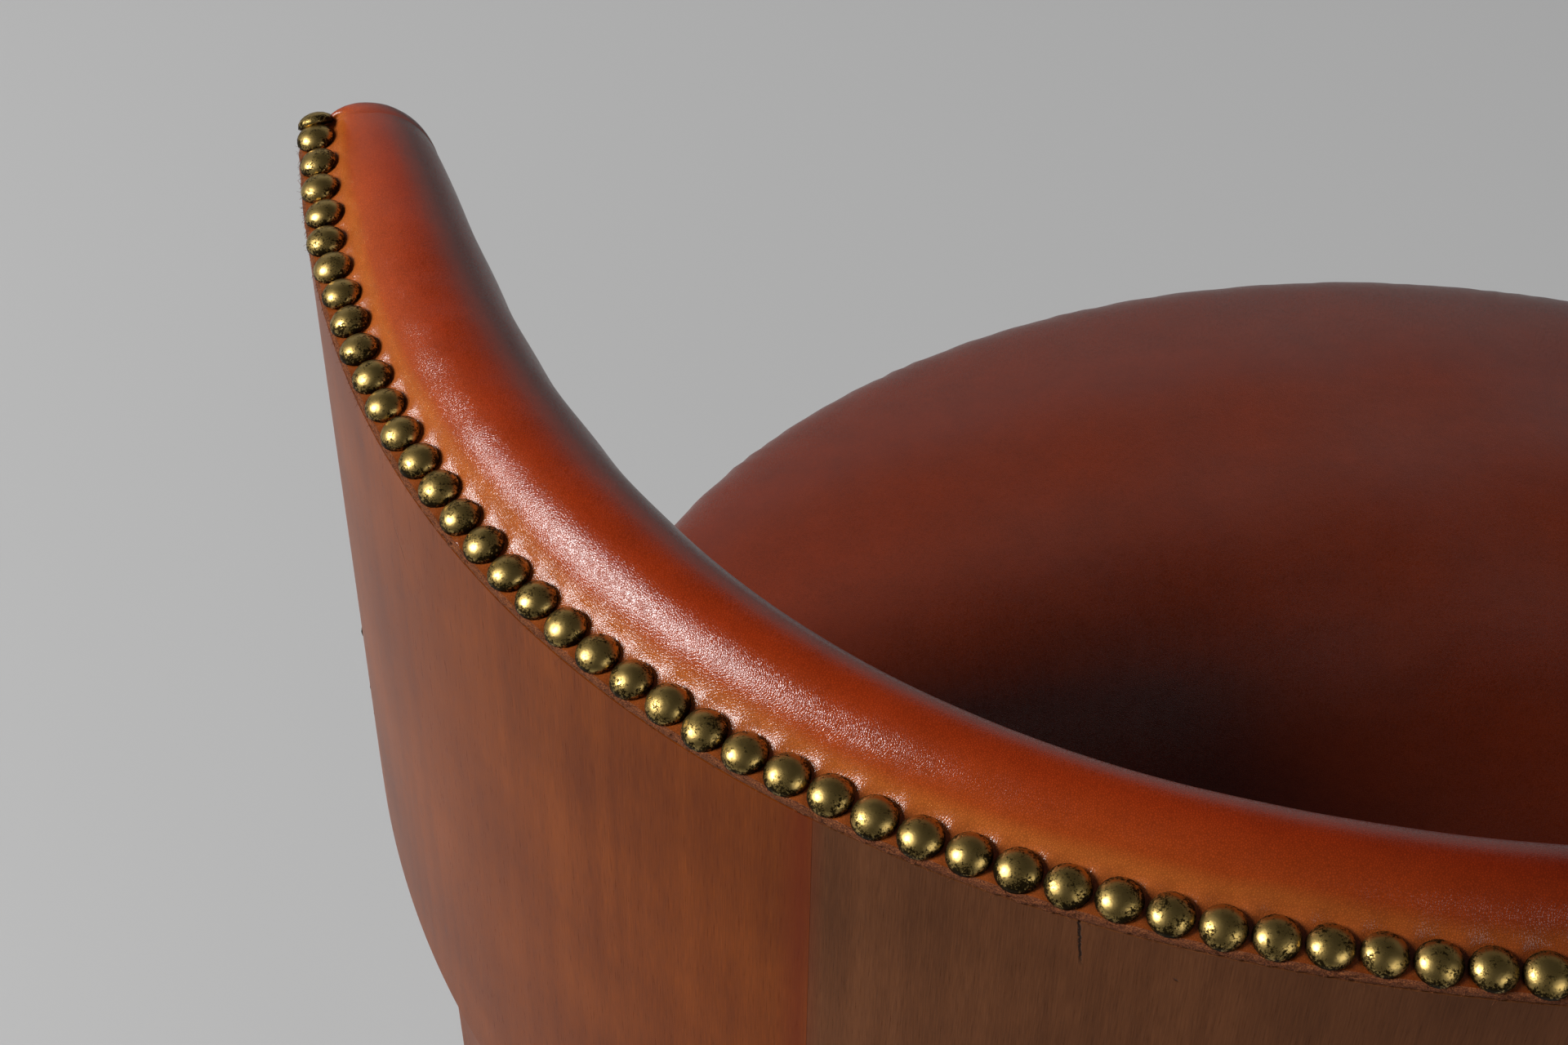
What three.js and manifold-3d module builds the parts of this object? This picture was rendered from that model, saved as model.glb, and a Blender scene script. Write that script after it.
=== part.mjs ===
// A barrel-backed armchair in millimetres: +Z is up and the front faces -Y. A thin curved wooden
// shell stands on two rear legs and a stay, wraps round the sitter, and is padded inside under
// leather that is nailed along its top and front edges. A domed leather seat lies on a ring of
// four curved rails, which the four legs carry. The origin is on the floor under the middle.
import * as THREE from 'three';
import { mergeVertices } from 'three/addons/utils/BufferGeometryUtils.js';
import Module from 'manifold-3d';

const wasm = await Module();
wasm.setup();

// Driving dimensions
const fit = { gap: 0.3, overrun: 3, seatClearance: 3 };
const barrel = {
  halfWidth: 341.7,
  backReach: 344.5,
  squareness: 2.394,
  rimHeight: 660,
  height: 220.4,
  flare: 3.2,
  halfArc: 482,
  frontLean: 40,
  cornerRadius: 16,
  thickness: 12,
  veneer: 0.9,
  edgeBevel: 3,
};
const cover = { leather: 2, edgeInset: 0.3, tuckRise: 8 };
const roll = {
  startInset: 10.8,
  crestInset: 21,
  crestRise: 9,
  innerDrop: 16,
  backDepth: 40,
  armDepth: 48,
  tipDepth: 27,
  tipRound: 34,
  armBlendFrom: 110,
  armBlendTo: 330,
  waistCut: 7,
  tuckRadius: 9,
};
const nail = { diameter: 10.9, rise: 3.2, shoulder: 1.9, inset: 5.3, pitch: 10.44, tipSetback: 3.9 };
const seat = {
  sideGap: 61.7,
  backGap: 41.7,
  frontDepth: 223.6,
  centreBehind: 79.4,
  crownDrop: 198,
  domeRise: 52.2,
  sideDrop: 25,
  drawIn: 3,
};
const seatFrame = { width: 45, depth: 20 };
const strap = { width: 50, thickness: 1.5, pitch: 76, bearing: 24 };
const rail = { height: 52, thickness: 28, proud: 4 };
const leg = {
  width: 35,
  footWidth: 25,
  footDepth: 27,
  chamfer: 2.5,
  rearArc: 364,
  rearInset: 3,
  rearRake: 19,
  rearShoulder: 63,
  frontProud: 9,
  frontRake: 8,
  frontShoulder: 31,
};
const post = { width: 30, depth: 15, rise: 150, slack: 0.9 };
const stay = { width: 52, depth: 15, rise: 115, drop: 38 };
const block = { width: 78, depth: 22, height: 38, chamfer: 4 };
const screw = { diameter: 5, headDiameter: 9, headRise: 2.4, spread: 11, bite: 18 };
const shellScrew = { diameter: 4, headDiameter: 8, headRise: 2, bite: 8, lowRise: 45, highRise: 120 };
const glide = { diameter: 20, height: 4, edge: 1 };
const dustCloth = { thickness: 1, inset: 6 };

// Counts, angles and shares
const stationCount = 36;
const leafJointShare = 4 / 9;
const uprightShare = 0.6;
const seatSides = 44;
const nailSides = 6;
const screwSides = 6;
const glideSides = 12;
const tableSteps = 6000;
const leastRailSides = 6;
const halvings = 30;
const seatFrontSquareness = 1.97;
const seatBackSquareness = 2.4;
const domeExponent = 2.18;
const frontLegAngle = THREE.MathUtils.degToRad(44);
const tipStationShares = [0, 0.06, 0.25, 0.6];
const cornerLevelShares = [0, 0.1, 0.4, 1];
const wallLevelShares = [0.33, 0.67];
const crestShares = [0, 0.35, 0.7];
const shoulderShares = [0, 0.33, 0.67, 1];
const domeShares = [0.3, 0.55, 0.75, 0.88, 0.96, 1];
const legLevelShares = [0, 0.35, 0.7, 0.9, 1];
const legOuterShares = [1, 0.68, 0.3, 0.08, 0];
const legInnerShares = [0, 0.05, 0.25, 0.62, 1];
const tipRiseShare = 0.72;
const nailShoulderShare = 0.78;

// The seat lies inside the barrel at named gaps
const seatHalfWidth = barrel.halfWidth - seat.sideGap;
const seatBackDepth = barrel.backReach - seat.centreBehind - seat.backGap;
const crownHeight = barrel.rimHeight - seat.crownDrop;

// The barrel's plan, a rounded square curve: outline(angle) is the outer face at the rim
const signedPower = (value, power) => Math.sign(value) * Math.abs(value) ** power;

function outlinePoint(angle) {
  const power = 2 / barrel.squareness;
  return new THREE.Vector2(
    barrel.halfWidth * signedPower(Math.sin(angle), power),
    barrel.backReach * signedPower(Math.cos(angle), power),
  );
}

// Unit vector pointing into the barrel, square to the outline
function inwardAt(angle) {
  const bend = 2 - 2 / barrel.squareness;
  return new THREE.Vector2(
    -signedPower(Math.sin(angle), bend) / barrel.halfWidth,
    -signedPower(Math.cos(angle), bend) / barrel.backReach,
  ).normalize();
}

// Table of lengths along the curve that lies a given inset inside the outline, to read angles from
function lengthTable(inset) {
  const angles = [];
  const lengths = [];
  let last = null;
  for (let i = 0; i <= tableSteps; i += 1) {
    const angle = Math.PI * (i / tableSteps);
    const point = outlinePoint(angle).addScaledVector(inwardAt(angle), inset);
    lengths.push(last ? lengths[i - 1] + point.distanceTo(last) : 0);
    angles.push(angle);
    last = point;
  }
  return { angles, lengths };
}

function angleAt(table, arc) {
  const target = Math.abs(arc);
  const above = table.lengths.findIndex((length) => length >= target);
  const high = above < 1 ? table.lengths.length - 1 : above;
  const span = table.lengths[high] - table.lengths[high - 1];
  const share = (target - table.lengths[high - 1]) / span;
  return Math.sign(arc) * THREE.MathUtils.lerp(table.angles[high - 1], table.angles[high], share);
}

const outerTable = lengthTable(0);
const nailTable = lengthTable(nail.inset);
const shellFoot = barrel.rimHeight - barrel.height;
const fallShare = (height) => THREE.MathUtils.clamp((barrel.rimHeight - height) / barrel.height, 0, 1);
const flareAt = (height) => barrel.flare * fallShare(height);

// Point at a length along the rim, an inset from the outer face and a height; +arc is the left arm
function barrelPoint(arc, inset, height, table = outerTable) {
  const angle = angleAt(table, arc);
  const tableInset = table === nailTable ? nail.inset : inset;
  const plan = outlinePoint(angle).addScaledVector(inwardAt(angle), tableInset - flareAt(height));
  return new THREE.Vector3(plan.x, plan.y, height);
}

// Half the shell's length at a height: the front edge leans back and its lower corner is round
function halfArcAt(height) {
  const aboveFoot = height - shellFoot;
  const drop = Math.max(0, barrel.cornerRadius - aboveFoot);
  const chord = Math.sqrt(Math.max(0, barrel.cornerRadius ** 2 - drop ** 2));
  return barrel.halfArc - barrel.frontLean * fallShare(height) - (barrel.cornerRadius - chord);
}

const topEdgeAt = (inset) => barrel.rimHeight - barrel.edgeBevel * (1 - inset / barrel.thickness);

// Length along the rim at a station: upright over most of the barrel, leaning in step with the tips
function arcAt(share, height, grow = 0) {
  const upright = uprightShare * barrel.halfArc;
  const half = halfArcAt(Math.max(height, shellFoot)) + grow;
  const past = Math.abs(share) - uprightShare;
  const reach = past < 0 ? Math.abs(share) * barrel.halfArc
    : THREE.MathUtils.lerp(upright, half, past / (1 - uprightShare));
  return Math.sign(share) * reach;
}

const cornerTop = shellFoot + barrel.cornerRadius;
const levelHeights = [
  ...cornerLevelShares.map((share) => shellFoot + barrel.cornerRadius * share),
  ...wallLevelShares.map((share) => THREE.MathUtils.lerp(cornerTop, barrel.rimHeight, share)),
];

// Shares of the half length at which sections stand: even, and closer together at the tips
const evenShares = Array.from({ length: stationCount + 1 }, (_, i) => (2 * i - stationCount) / stationCount);
const tipShare = roll.tipRound / barrel.halfArc;
const tipShares = tipStationShares.map((share) => 1 - share * tipShare);
const stations = [
  ...tipShares.map((share) => -share),
  ...evenShares.filter((share) => Math.abs(share) < 1 - tipShare),
  ...tipShares.reverse(),
];

// Closed mesh from rings of equal length; the end rings are closed by strips unless it loops. Quads
// are split alike on a ring's two sides, and mirrored about the middle ring.
function skin(rings, loops = false) {
  const size = rings[0].length;
  const points = rings.flat().flatMap((point) => point.toArray());
  const index = [];
  const quad = (a, b, c, d, turned) => index.push(...(turned ? [b, c, d, b, d, a] : [a, b, c, a, c, d]));
  const bands = loops ? rings.length : rings.length - 1;
  for (let j = 0; j < bands; j += 1) {
    const next = ((j + 1) % rings.length) * size;
    for (let i = 0; i < size; i += 1) {
      const k = (i + 1) % size;
      const turned = (i < size / 2 - 1) === (j < bands / 2);
      quad(j * size + i, j * size + k, next + k, next + i, turned);
    }
  }
  if (!loops) {
    const end = (rings.length - 1) * size;
    for (let i = 0; i < size / 2 - 1; i += 1) {
      quad(i, size - 1 - i, size - 2 - i, i + 1);
      quad(end + i, end + i + 1, end + size - 2 - i, end + size - 1 - i);
    }
  }
  return outwardGeometry(points, index);
}

// Dome-like closed mesh from rings between a first and a last point
function cappedSkin(first, rings, last) {
  const size = rings[0].length;
  const points = [first, ...rings.flat(), last].flatMap((point) => point.toArray());
  const index = [];
  for (let i = 0; i < size; i += 1) {
    const k = (i + 1) % size;
    index.push(0, 1 + i, 1 + k);
    for (let j = 0; j < rings.length - 1; j += 1) {
      const here = 1 + j * size;
      const next = here + size;
      index.push(here + i, next + i, next + k, here + i, next + k, here + k);
    }
    const end = 1 + (rings.length - 1) * size;
    index.push(end + size, end + k, end + i);
  }
  return outwardGeometry(points, index);
}

// Geometry whose faces point out, turned over where its volume comes out negative
function outwardGeometry(points, index) {
  const corner = (n) => new THREE.Vector3().fromArray(points, index[n] * 3);
  let volume = 0;
  for (let n = 0; n < index.length; n += 3) {
    volume += corner(n).dot(corner(n + 1).cross(corner(n + 2)));
  }
  const faces = volume < 0 ? index.slice().reverse() : index;
  const geometry = new THREE.BufferGeometry();
  geometry.setAttribute('position', new THREE.Float32BufferAttribute(points, 3));
  geometry.setIndex(faces);
  return geometry;
}

function toSolid(geometry) {
  const plain = geometry.clone();
  plain.deleteAttribute('normal');
  plain.deleteAttribute('uv');
  const merged = mergeVertices(plain);
  return new wasm.Manifold(new wasm.Mesh({
    numProp: 3,
    vertProperties: new Float32Array(merged.getAttribute('position').array),
    triVerts: new Uint32Array(merged.index.array),
  }));
}

function toGeometry(solid) {
  const mesh = solid.getMesh();
  const geometry = new THREE.BufferGeometry();
  geometry.setAttribute('position', new THREE.Float32BufferAttribute(mesh.vertProperties, 3));
  geometry.setIndex(new THREE.Uint32BufferAttribute(mesh.triVerts, 1));
  return geometry;
}

const cut = (solid, ...tools) => tools.reduce((rest, tool) => rest.subtract(tool), solid);
const joined = (solids) => solids.reduce((sum, solid) => sum.add(solid));

// Shell: sections run up the outer side and down the inner side
function shellRing(share, outer, inner, options = {}) {
  const { grow = 0, lift = 0, below = 0, shift = 0 } = options;
  const heights = levelHeights.map((height, i) => (i === 0 ? height - below : height));
  const side = (inset) => [...heights, topEdgeAt(inset) + lift].map((height) => (
    barrelPoint(arcAt(share, height, grow) + shift, inset, height)));
  return [...side(outer), ...side(inner).reverse()];
}

const shellSolid = toSolid(skin(stations.map((share) => (
  shellRing(share, barrel.veneer + fit.gap, barrel.thickness)))));
const shellTool = toSolid(skin(stations.map((share) => shellRing(share, -fit.overrun,
  barrel.thickness + fit.gap, { grow: fit.gap, lift: fit.gap, below: fit.overrun }))));

// Veneer leaf between two stations, half a gap short of its neighbours
function veneerGeometry(from, to) {
  const shares = stations.filter((share) => share >= from && share <= to);
  return skin(shares.map((share) => {
    const inner = Math.abs(share) === leafJointShare;
    const shift = inner ? Math.sign((from + to) / 2 - share) * (fit.gap / 2) : 0;
    return shellRing(share, 0, barrel.veneer, { shift });
  }));
}

// Padding depth from the outer face: fuller along the arms and rounded off at the tips
function padDepth(arc, tipRoundness) {
  const blend = THREE.MathUtils.smoothstep(Math.abs(arc), roll.armBlendFrom, roll.armBlendTo);
  const full = THREE.MathUtils.lerp(roll.backDepth, roll.armDepth, blend);
  return THREE.MathUtils.lerp(roll.tipDepth, full, tipRoundness);
}

// 0 at the tip and 1 from the round's length on, as a quarter of an ellipse
function tipRoundnessAt(share) {
  const away = Math.min(1, ((1 - Math.abs(share)) * barrel.halfArc) / roll.tipRound);
  return Math.sqrt(1 - (1 - away) ** 2);
}

// Padding's section as pairs of inset and height: over the crest, down the inside, under the tuck.
// A skin thickness draws it in evenly.
function padProfile(share, thickness) {
  const roundness = tipRoundnessAt(share);
  const depth = padDepth(share * barrel.halfArc, roundness) - thickness;
  const rise = roll.crestRise * THREE.MathUtils.lerp(tipRiseShare, 1, roundness) - thickness;
  const start = topEdgeAt(roll.startInset) + cover.leather + fit.gap - thickness;
  const crest = barrel.rimHeight + rise;
  const turn = barrel.rimHeight - roll.innerDrop;
  const foot = shellFoot + cover.tuckRise + thickness;
  const tuck = roll.tuckRadius - thickness;
  const outside = crestShares.map((t) => [
    THREE.MathUtils.lerp(roll.startInset + thickness, roll.crestInset, t),
    THREE.MathUtils.lerp(start, crest, Math.sin((t * Math.PI) / 2)),
  ]);
  const inside = shoulderShares.map((t) => {
    const angle = (t * Math.PI) / 2;
    return [
      THREE.MathUtils.lerp(roll.crestInset, depth, Math.sin(angle)),
      THREE.MathUtils.lerp(turn, crest, Math.cos(angle)),
    ];
  });
  const waist = depth - roll.waistCut * roundness;
  const wall = wallLevelShares.map((t) => [
    THREE.MathUtils.lerp(depth, waist, t),
    THREE.MathUtils.lerp(turn, foot + tuck, t),
  ]);
  return [...outside, ...inside, ...wall,
    [waist, foot + tuck],
    [waist - tuck * (1 - Math.SQRT1_2), foot + tuck * (1 - Math.SQRT1_2)],
    [waist - tuck, foot]];
}

// Section of the padding or its cover: the profile, and a straight back at an inset
function padRing(share, thickness, back, options = {}) {
  const { grow = 0, withEdge = false } = options;
  const profile = padProfile(share, thickness);
  const front = withEdge
    ? [[back, topEdgeAt(back) + cover.leather + fit.gap], ...profile]
    : profile;
  const top = front[0][1];
  const foot = front[front.length - 1][1];
  const place = ([inset, height]) => barrelPoint(arcAt(share, height, grow), inset, height);
  const rear = front.map((_, i) => {
    const height = THREE.MathUtils.lerp(top, foot, i / (front.length - 1));
    return [back, withEdge && i === 0 ? height - cover.leather : height];
  });
  return [...front.map(place), ...rear.reverse().map(place)];
}

const padSolid = toSolid(skin(stations.map((share) => padRing(share,
  cover.leather + fit.gap, barrel.thickness + fit.gap))));
const padTool = toSolid(skin(stations.map((share) => padRing(share,
  cover.leather, barrel.thickness, { grow: fit.gap }))));
const coverEnvelope = toSolid(skin(stations.map((share) => padRing(share,
  0, cover.edgeInset, { grow: fit.gap + cover.leather, withEdge: true }))));

// Upright frame at a point: X runs along the outline, Y points into the chair, Z is up
function frameAt(point, inward) {
  const along = new THREE.Vector3(inward.y, -inward.x, 0);
  const into = new THREE.Vector3(inward.x, inward.y, 0);
  const frame = new THREE.Matrix4().makeBasis(along, into, new THREE.Vector3(0, 0, 1));
  return frame.setPosition(point.x, point.y, 0);
}

function barrelFrame(arc) {
  const angle = angleAt(outerTable, arc);
  return frameAt(outlinePoint(angle), inwardAt(angle));
}

// Upright bar between levels of height, half width, outer and inner inset, in a frame
function barSolid(levels, chamfer, frame) {
  const rings = levels.map(({ height, half, outer, inner }) => [
    [chamfer - half, outer], [half - chamfer, outer], [half, outer + chamfer], [half, inner - chamfer],
    [half - chamfer, inner], [chamfer - half, inner], [-half, inner - chamfer], [-half, outer + chamfer],
  ].map(([x, y]) => new THREE.Vector3(x, y, height).applyMatrix4(frame)));
  return toSolid(skin(rings));
}

// Seat outline round its centre: angle 0 is the front, a quarter turn the left side
function seatPoint(angle, grow, scale, height) {
  const front = Math.cos(angle) > 0;
  const power = 2 / (front ? seatFrontSquareness : seatBackSquareness);
  const depth = (front ? seat.frontDepth : seatBackDepth) + grow;
  return new THREE.Vector3(
    (seatHalfWidth + grow) * scale * signedPower(Math.sin(angle), power),
    seat.centreBehind - depth * scale * signedPower(Math.cos(angle), power),
    height,
  );
}

function seatRing(grow, scale, height) {
  return Array.from({ length: seatSides }, (_, i) => (
    seatPoint((2 * Math.PI * i) / seatSides, grow, scale, height)));
}

function seatFrameAt(angle, grow) {
  const nudge = 1e-3;
  const point = seatPoint(angle, grow, 1, 0);
  const along = seatPoint(angle + nudge, grow, 1, 0).sub(seatPoint(angle - nudge, grow, 1, 0)).normalize();
  return frameAt(point, new THREE.Vector2(-along.y, along.x));
}

// Heights of the seat's layers, from the crown down
const domeFoot = crownHeight - seat.domeRise;
const seatFoot = domeFoot - seat.sideDrop;
const railTop = seatFoot - fit.gap;
const railFoot = railTop - rail.height;
const frameTop = seatFoot + seatFrame.depth;
const strapFoot = frameTop + fit.gap;
const crossStrapFoot = strapFoot + strap.thickness + fit.gap;
const stuffingFoot = crossStrapFoot + strap.thickness + fit.gap;

// Rings of the dome drawn in by a thickness, from the crown outwards
function domeRings(thickness) {
  return domeShares.map((share) => {
    const fall = seat.domeRise * (1 - (1 - share ** domeExponent) ** (1 / domeExponent));
    return seatRing(-thickness, share, crownHeight - thickness - fall);
  });
}

const crownPoint = (thickness) => new THREE.Vector3(0, seat.centreBehind, crownHeight - thickness);

function seatCoverGeometry() {
  const inner = cover.leather;
  return cappedSkin(crownPoint(0), [
    ...domeRings(0),
    seatRing(-seat.drawIn, 1, seatFoot),
    seatRing(-seat.drawIn - inner, 1, seatFoot),
    ...domeRings(inner).reverse(),
  ], crownPoint(inner));
}

function seatStuffingGeometry() {
  const under = cover.leather + fit.gap;
  return cappedSkin(crownPoint(under), [
    ...domeRings(under),
    seatRing(-seat.drawIn - under, 1, stuffingFoot),
  ], new THREE.Vector3(0, seat.centreBehind, stuffingFoot));
}

// Loop of rectangular section that follows the seat outline
function hoopGeometry(outerGrow, innerGrow, foot, top) {
  const rings = [
    seatRing(outerGrow, 1, foot), seatRing(outerGrow, 1, top),
    seatRing(innerGrow, 1, top), seatRing(innerGrow, 1, foot),
  ];
  return skin(rings, true);
}

function seatFrameGeometry() {
  const outer = -seat.drawIn - cover.leather - fit.gap;
  return hoopGeometry(outer, outer - seatFrame.width, seatFoot, frameTop);
}

// Webbing: straps across the frame, each as long as the outline is there, less a margin
function strapGeometries(acrossWidth, foot) {
  const rings = seatRing(-strap.bearing, 1, 0).map((point) => new THREE.Vector2(point.x, point.y));
  const reach = acrossWidth ? seatHalfWidth : seat.frontDepth;
  const count = 2 * Math.floor((acrossWidth ? seat.frontDepth : seatHalfWidth) / strap.pitch) - 1;
  return Array.from({ length: count }, (_, i) => {
    const offset = (i - (count - 1) / 2) * strap.pitch;
    const near = Math.abs(offset) + strap.width / 2;
    const line = acrossWidth ? seat.centreBehind + Math.sign(offset || 1) * near : near;
    const length = 2 * reachAt(rings, line, acrossWidth, reach);
    const size = acrossWidth ? [length, strap.width] : [strap.width, length];
    const box = new THREE.BoxGeometry(size[0], size[1], strap.thickness);
    const x = acrossWidth ? 0 : offset;
    const y = seat.centreBehind + (acrossWidth ? offset : 0);
    box.translate(x, y, foot + strap.thickness / 2);
    return box;
  });
}

// Least distance from the seat's middle line to the outline along a straight line across it
function reachAt(outline, line, acrossWidth, most) {
  let reach = most;
  outline.forEach((a, i) => {
    const b = outline[(i + 1) % outline.length];
    const [from, to] = acrossWidth ? [a.y, b.y] : [a.x, b.x];
    if ((from - line) * (to - line) > 0 || from === to) {
      return;
    }
    const share = (line - from) / (to - from);
    const point = a.clone().lerp(b, share);
    reach = Math.min(reach, Math.abs(acrossWidth ? point.x : point.y - seat.centreBehind));
  });
  return reach;
}

// Angle at which the ring crosses the middle line of a rear leg
function ringAngleAt(frame) {
  const toLeg = frame.clone().invert();
  const acrossAt = (angle) => seatPoint(angle, rail.proud, 1, 0).applyMatrix4(toLeg).x;
  let low = Math.PI / 2;
  let high = Math.PI;
  for (let i = 0; i < halvings; i += 1) {
    const middle = (low + high) / 2;
    if (acrossAt(middle) * acrossAt(low) > 0) {
      low = middle;
    } else {
      high = middle;
    }
  }
  return low;
}

// Rails: one quarter of the ring each, butted behind the legs
const rearRailAngle = ringAngleAt(barrelFrame(leg.rearArc));
const joints = [frontLegAngle, rearRailAngle, 2 * Math.PI - rearRailAngle, 2 * Math.PI - frontLegAngle];

function railSolid(from, to, grow = 0) {
  const sides = Math.max(leastRailSides, Math.round((seatSides * (to - from)) / (2 * Math.PI)));
  const slack = (fit.gap / 2 - grow) / seatHalfWidth;
  const outer = rail.proud + grow;
  const inner = rail.proud - rail.thickness - grow;
  const rings = Array.from({ length: sides + 1 }, (_, i) => {
    const angle = THREE.MathUtils.lerp(from + slack, to - slack, i / sides);
    return [
      seatPoint(angle, outer, 1, railFoot - grow), seatPoint(angle, outer, 1, railTop + grow),
      seatPoint(angle, inner, 1, railTop + grow), seatPoint(angle, inner, 1, railFoot - grow),
    ];
  });
  return toSolid(skin(rings));
}

const railEnds = joints.map((from, i) => [from, joints[i + 1] ?? joints[0] + 2 * Math.PI]);
const ringTool = joined(railEnds.map(([from, to]) => railSolid(from, to, fit.gap)));
const seatTool = toSolid(cappedSkin(
  new THREE.Vector3(0, seat.centreBehind, railTop),
  [seatRing(fit.seatClearance, 1, railTop), seatRing(fit.seatClearance, 1, crownHeight)],
  new THREE.Vector3(0, seat.centreBehind, crownHeight),
));

// Legs: a bar that tapers to its foot, lapped round the ring, its upper part relieved for the seat
function legLevels(top, outerTop, innerTop, rake) {
  return legLevelShares.map((share, i) => ({
    height: THREE.MathUtils.lerp(glide.height + fit.gap, top, share),
    half: THREE.MathUtils.lerp(leg.footWidth, leg.width, Math.min(1, share / legLevelShares[3])) / 2,
    outer: outerTop + rake * legOuterShares[i],
    inner: THREE.MathUtils.lerp(outerTop + rake + leg.footDepth, innerTop, legInnerShares[i]),
  }));
}

function rearLegSolid(arc) {
  const frame = barrelFrame(arc);
  const lower = legLevels(railFoot, leg.rearInset, leg.rearShoulder, leg.rearRake);
  const last = lower[lower.length - 1];
  const shoulder = shellFoot - fit.gap;
  const body = barSolid([...lower, { ...last, height: shoulder }], leg.chamfer, frame);
  const behind = (height) => barrel.thickness + fit.gap + post.slack - flareAt(height);
  const upper = [shoulder - leg.chamfer, shellFoot + post.rise].map((height) => ({
    height,
    half: post.width / 2,
    outer: behind(height),
    inner: behind(height) + post.depth,
  }));
  return cut(body.add(barSolid(upper, leg.chamfer, frame)), ringTool, seatTool, shellTool);
}

function frontLegSolid(angle) {
  const frame = seatFrameAt(angle, rail.proud);
  const lower = legLevels(railFoot, -leg.frontProud, leg.frontShoulder - leg.frontProud, leg.frontRake);
  const last = lower[lower.length - 1];
  const body = barSolid([...lower, { ...last, height: railTop }], leg.chamfer, frame);
  return cut(body, ringTool);
}

// Stay behind the seat: a board from the ring up the inside of the shell
function staySolid() {
  const frame = barrelFrame(0);
  const behind = (height) => barrel.thickness + fit.gap + post.slack - flareAt(height);
  const ringGap = seat.backGap - rail.proud - fit.gap;
  const foot = railTop - stay.drop;
  const low = [foot, railTop].map((height) => ({
    height, half: stay.width / 2, outer: behind(height), inner: ringGap,
  }));
  const high = [foot, shellFoot, shellFoot + stay.rise].map((height) => ({
    height, half: stay.width / 2, outer: behind(height), inner: behind(height) + stay.depth,
  }));
  const body = barSolid(low, leg.chamfer, frame).add(barSolid(high, leg.chamfer, frame));
  return cut(body, ringTool, seatTool);
}

// Everything outside the ring's middle line, so that a block keeps only its inner side
const innerSideTool = toSolid(hoopGeometry(rail.proud + block.width, rail.proud - rail.thickness / 2,
  railFoot - fit.overrun, railTop + fit.overrun));

// Corner block on the inside of the ring
function blockSolid(frame) {
  const middle = railFoot + rail.height / 2;
  const inner = rail.proud + rail.thickness + block.depth;
  const levels = [middle - block.height / 2, middle + block.height / 2].map((height) => ({
    height, half: block.width / 2, outer: rail.proud, inner,
  }));
  return cut(barSolid(levels, block.chamfer, frame), ringTool, innerSideTool);
}

// Screw whose head lies at the frame's given inset and whose shank points outwards
function screwGeometry(size, length, grow) {
  const shank = new THREE.CylinderGeometry(size.diameter / 2 + grow, size.diameter / 2 + grow,
    length + grow, screwSides);
  shank.translate(0, -(length + grow) / 2 + fit.gap, 0);
  const head = new THREE.CylinderGeometry(size.diameter / 2 + grow, size.headDiameter / 2 + grow,
    size.headRise + grow, screwSides + 2);
  head.translate(0, (size.headRise + grow) / 2 - grow / 2 + fit.gap, 0);
  return toGeometry(toSolid(shank).add(toSolid(head)));
}

function screwSolid(size, length, grow, frame, inset, height, sideways) {
  const placed = screwGeometry(size, length, grow);
  placed.translate(sideways, inset, height);
  placed.applyMatrix4(frame);
  return toSolid(placed);
}

const rearArcs = { left: leg.rearArc, right: -leg.rearArc };
const frontAngles = { left: frontLegAngle, right: -frontLegAngle };
const rearAngles = { left: rearRailAngle, right: -rearRailAngle };
const cornerFrames = [...Object.values(frontAngles), ...Object.values(rearAngles)].map((angle) => (
  seatFrameAt(angle, 0)));
const blockFace = rail.proud + rail.thickness + block.depth - 2 * rail.proud;

function cornerScrews(grow) {
  const middle = railFoot + rail.height / 2;
  const length = block.depth + rail.thickness + screw.bite - 2 * rail.proud;
  return cornerFrames.flatMap((frame) => [-1, 1].map((side) => (
    screwSolid(screw, length, grow, frame, blockFace, middle, side * screw.spread))));
}

function shellScrews(grow) {
  const mounts = [
    ...Object.values(rearArcs).map((arc) => ({ frame: barrelFrame(arc), depth: post.depth })),
    { frame: barrelFrame(0), depth: stay.depth },
  ];
  const heights = [shellFoot + shellScrew.lowRise, shellFoot + shellScrew.highRise - shellScrew.lowRise / 2];
  return mounts.flatMap(({ frame, depth }) => heights.map((height) => {
    const inset = barrel.thickness + fit.gap + post.slack - flareAt(height) + depth;
    return screwSolid(shellScrew, depth + shellScrew.bite, grow, frame, inset, height, 0);
  }));
}

// Nails: domes whose flat undersides lie on the leather and whose rims meet in a row
function nailGeometry() {
  const radius = nail.diameter / 2;
  const profile = [
    new THREE.Vector2(0, 0), new THREE.Vector2(radius, 0),
    new THREE.Vector2(radius * nailShoulderShare, nail.shoulder), new THREE.Vector2(0, nail.rise),
  ];
  return new THREE.LatheGeometry(profile, nailSides);
}

// Nail at a point of the leather: its dome points along an axis and a corner along the row
function nailSolid(point, axis, along) {
  const geometry = nailGeometry();
  geometry.applyMatrix4(new THREE.Matrix4().makeBasis(axis.clone().cross(along), axis, along));
  geometry.translate(point.x, point.y, point.z);
  return toSolid(geometry);
}

const bevelAngle = Math.atan2(barrel.edgeBevel, barrel.thickness);
const leatherTop = cover.leather + 2 * fit.gap;

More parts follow.
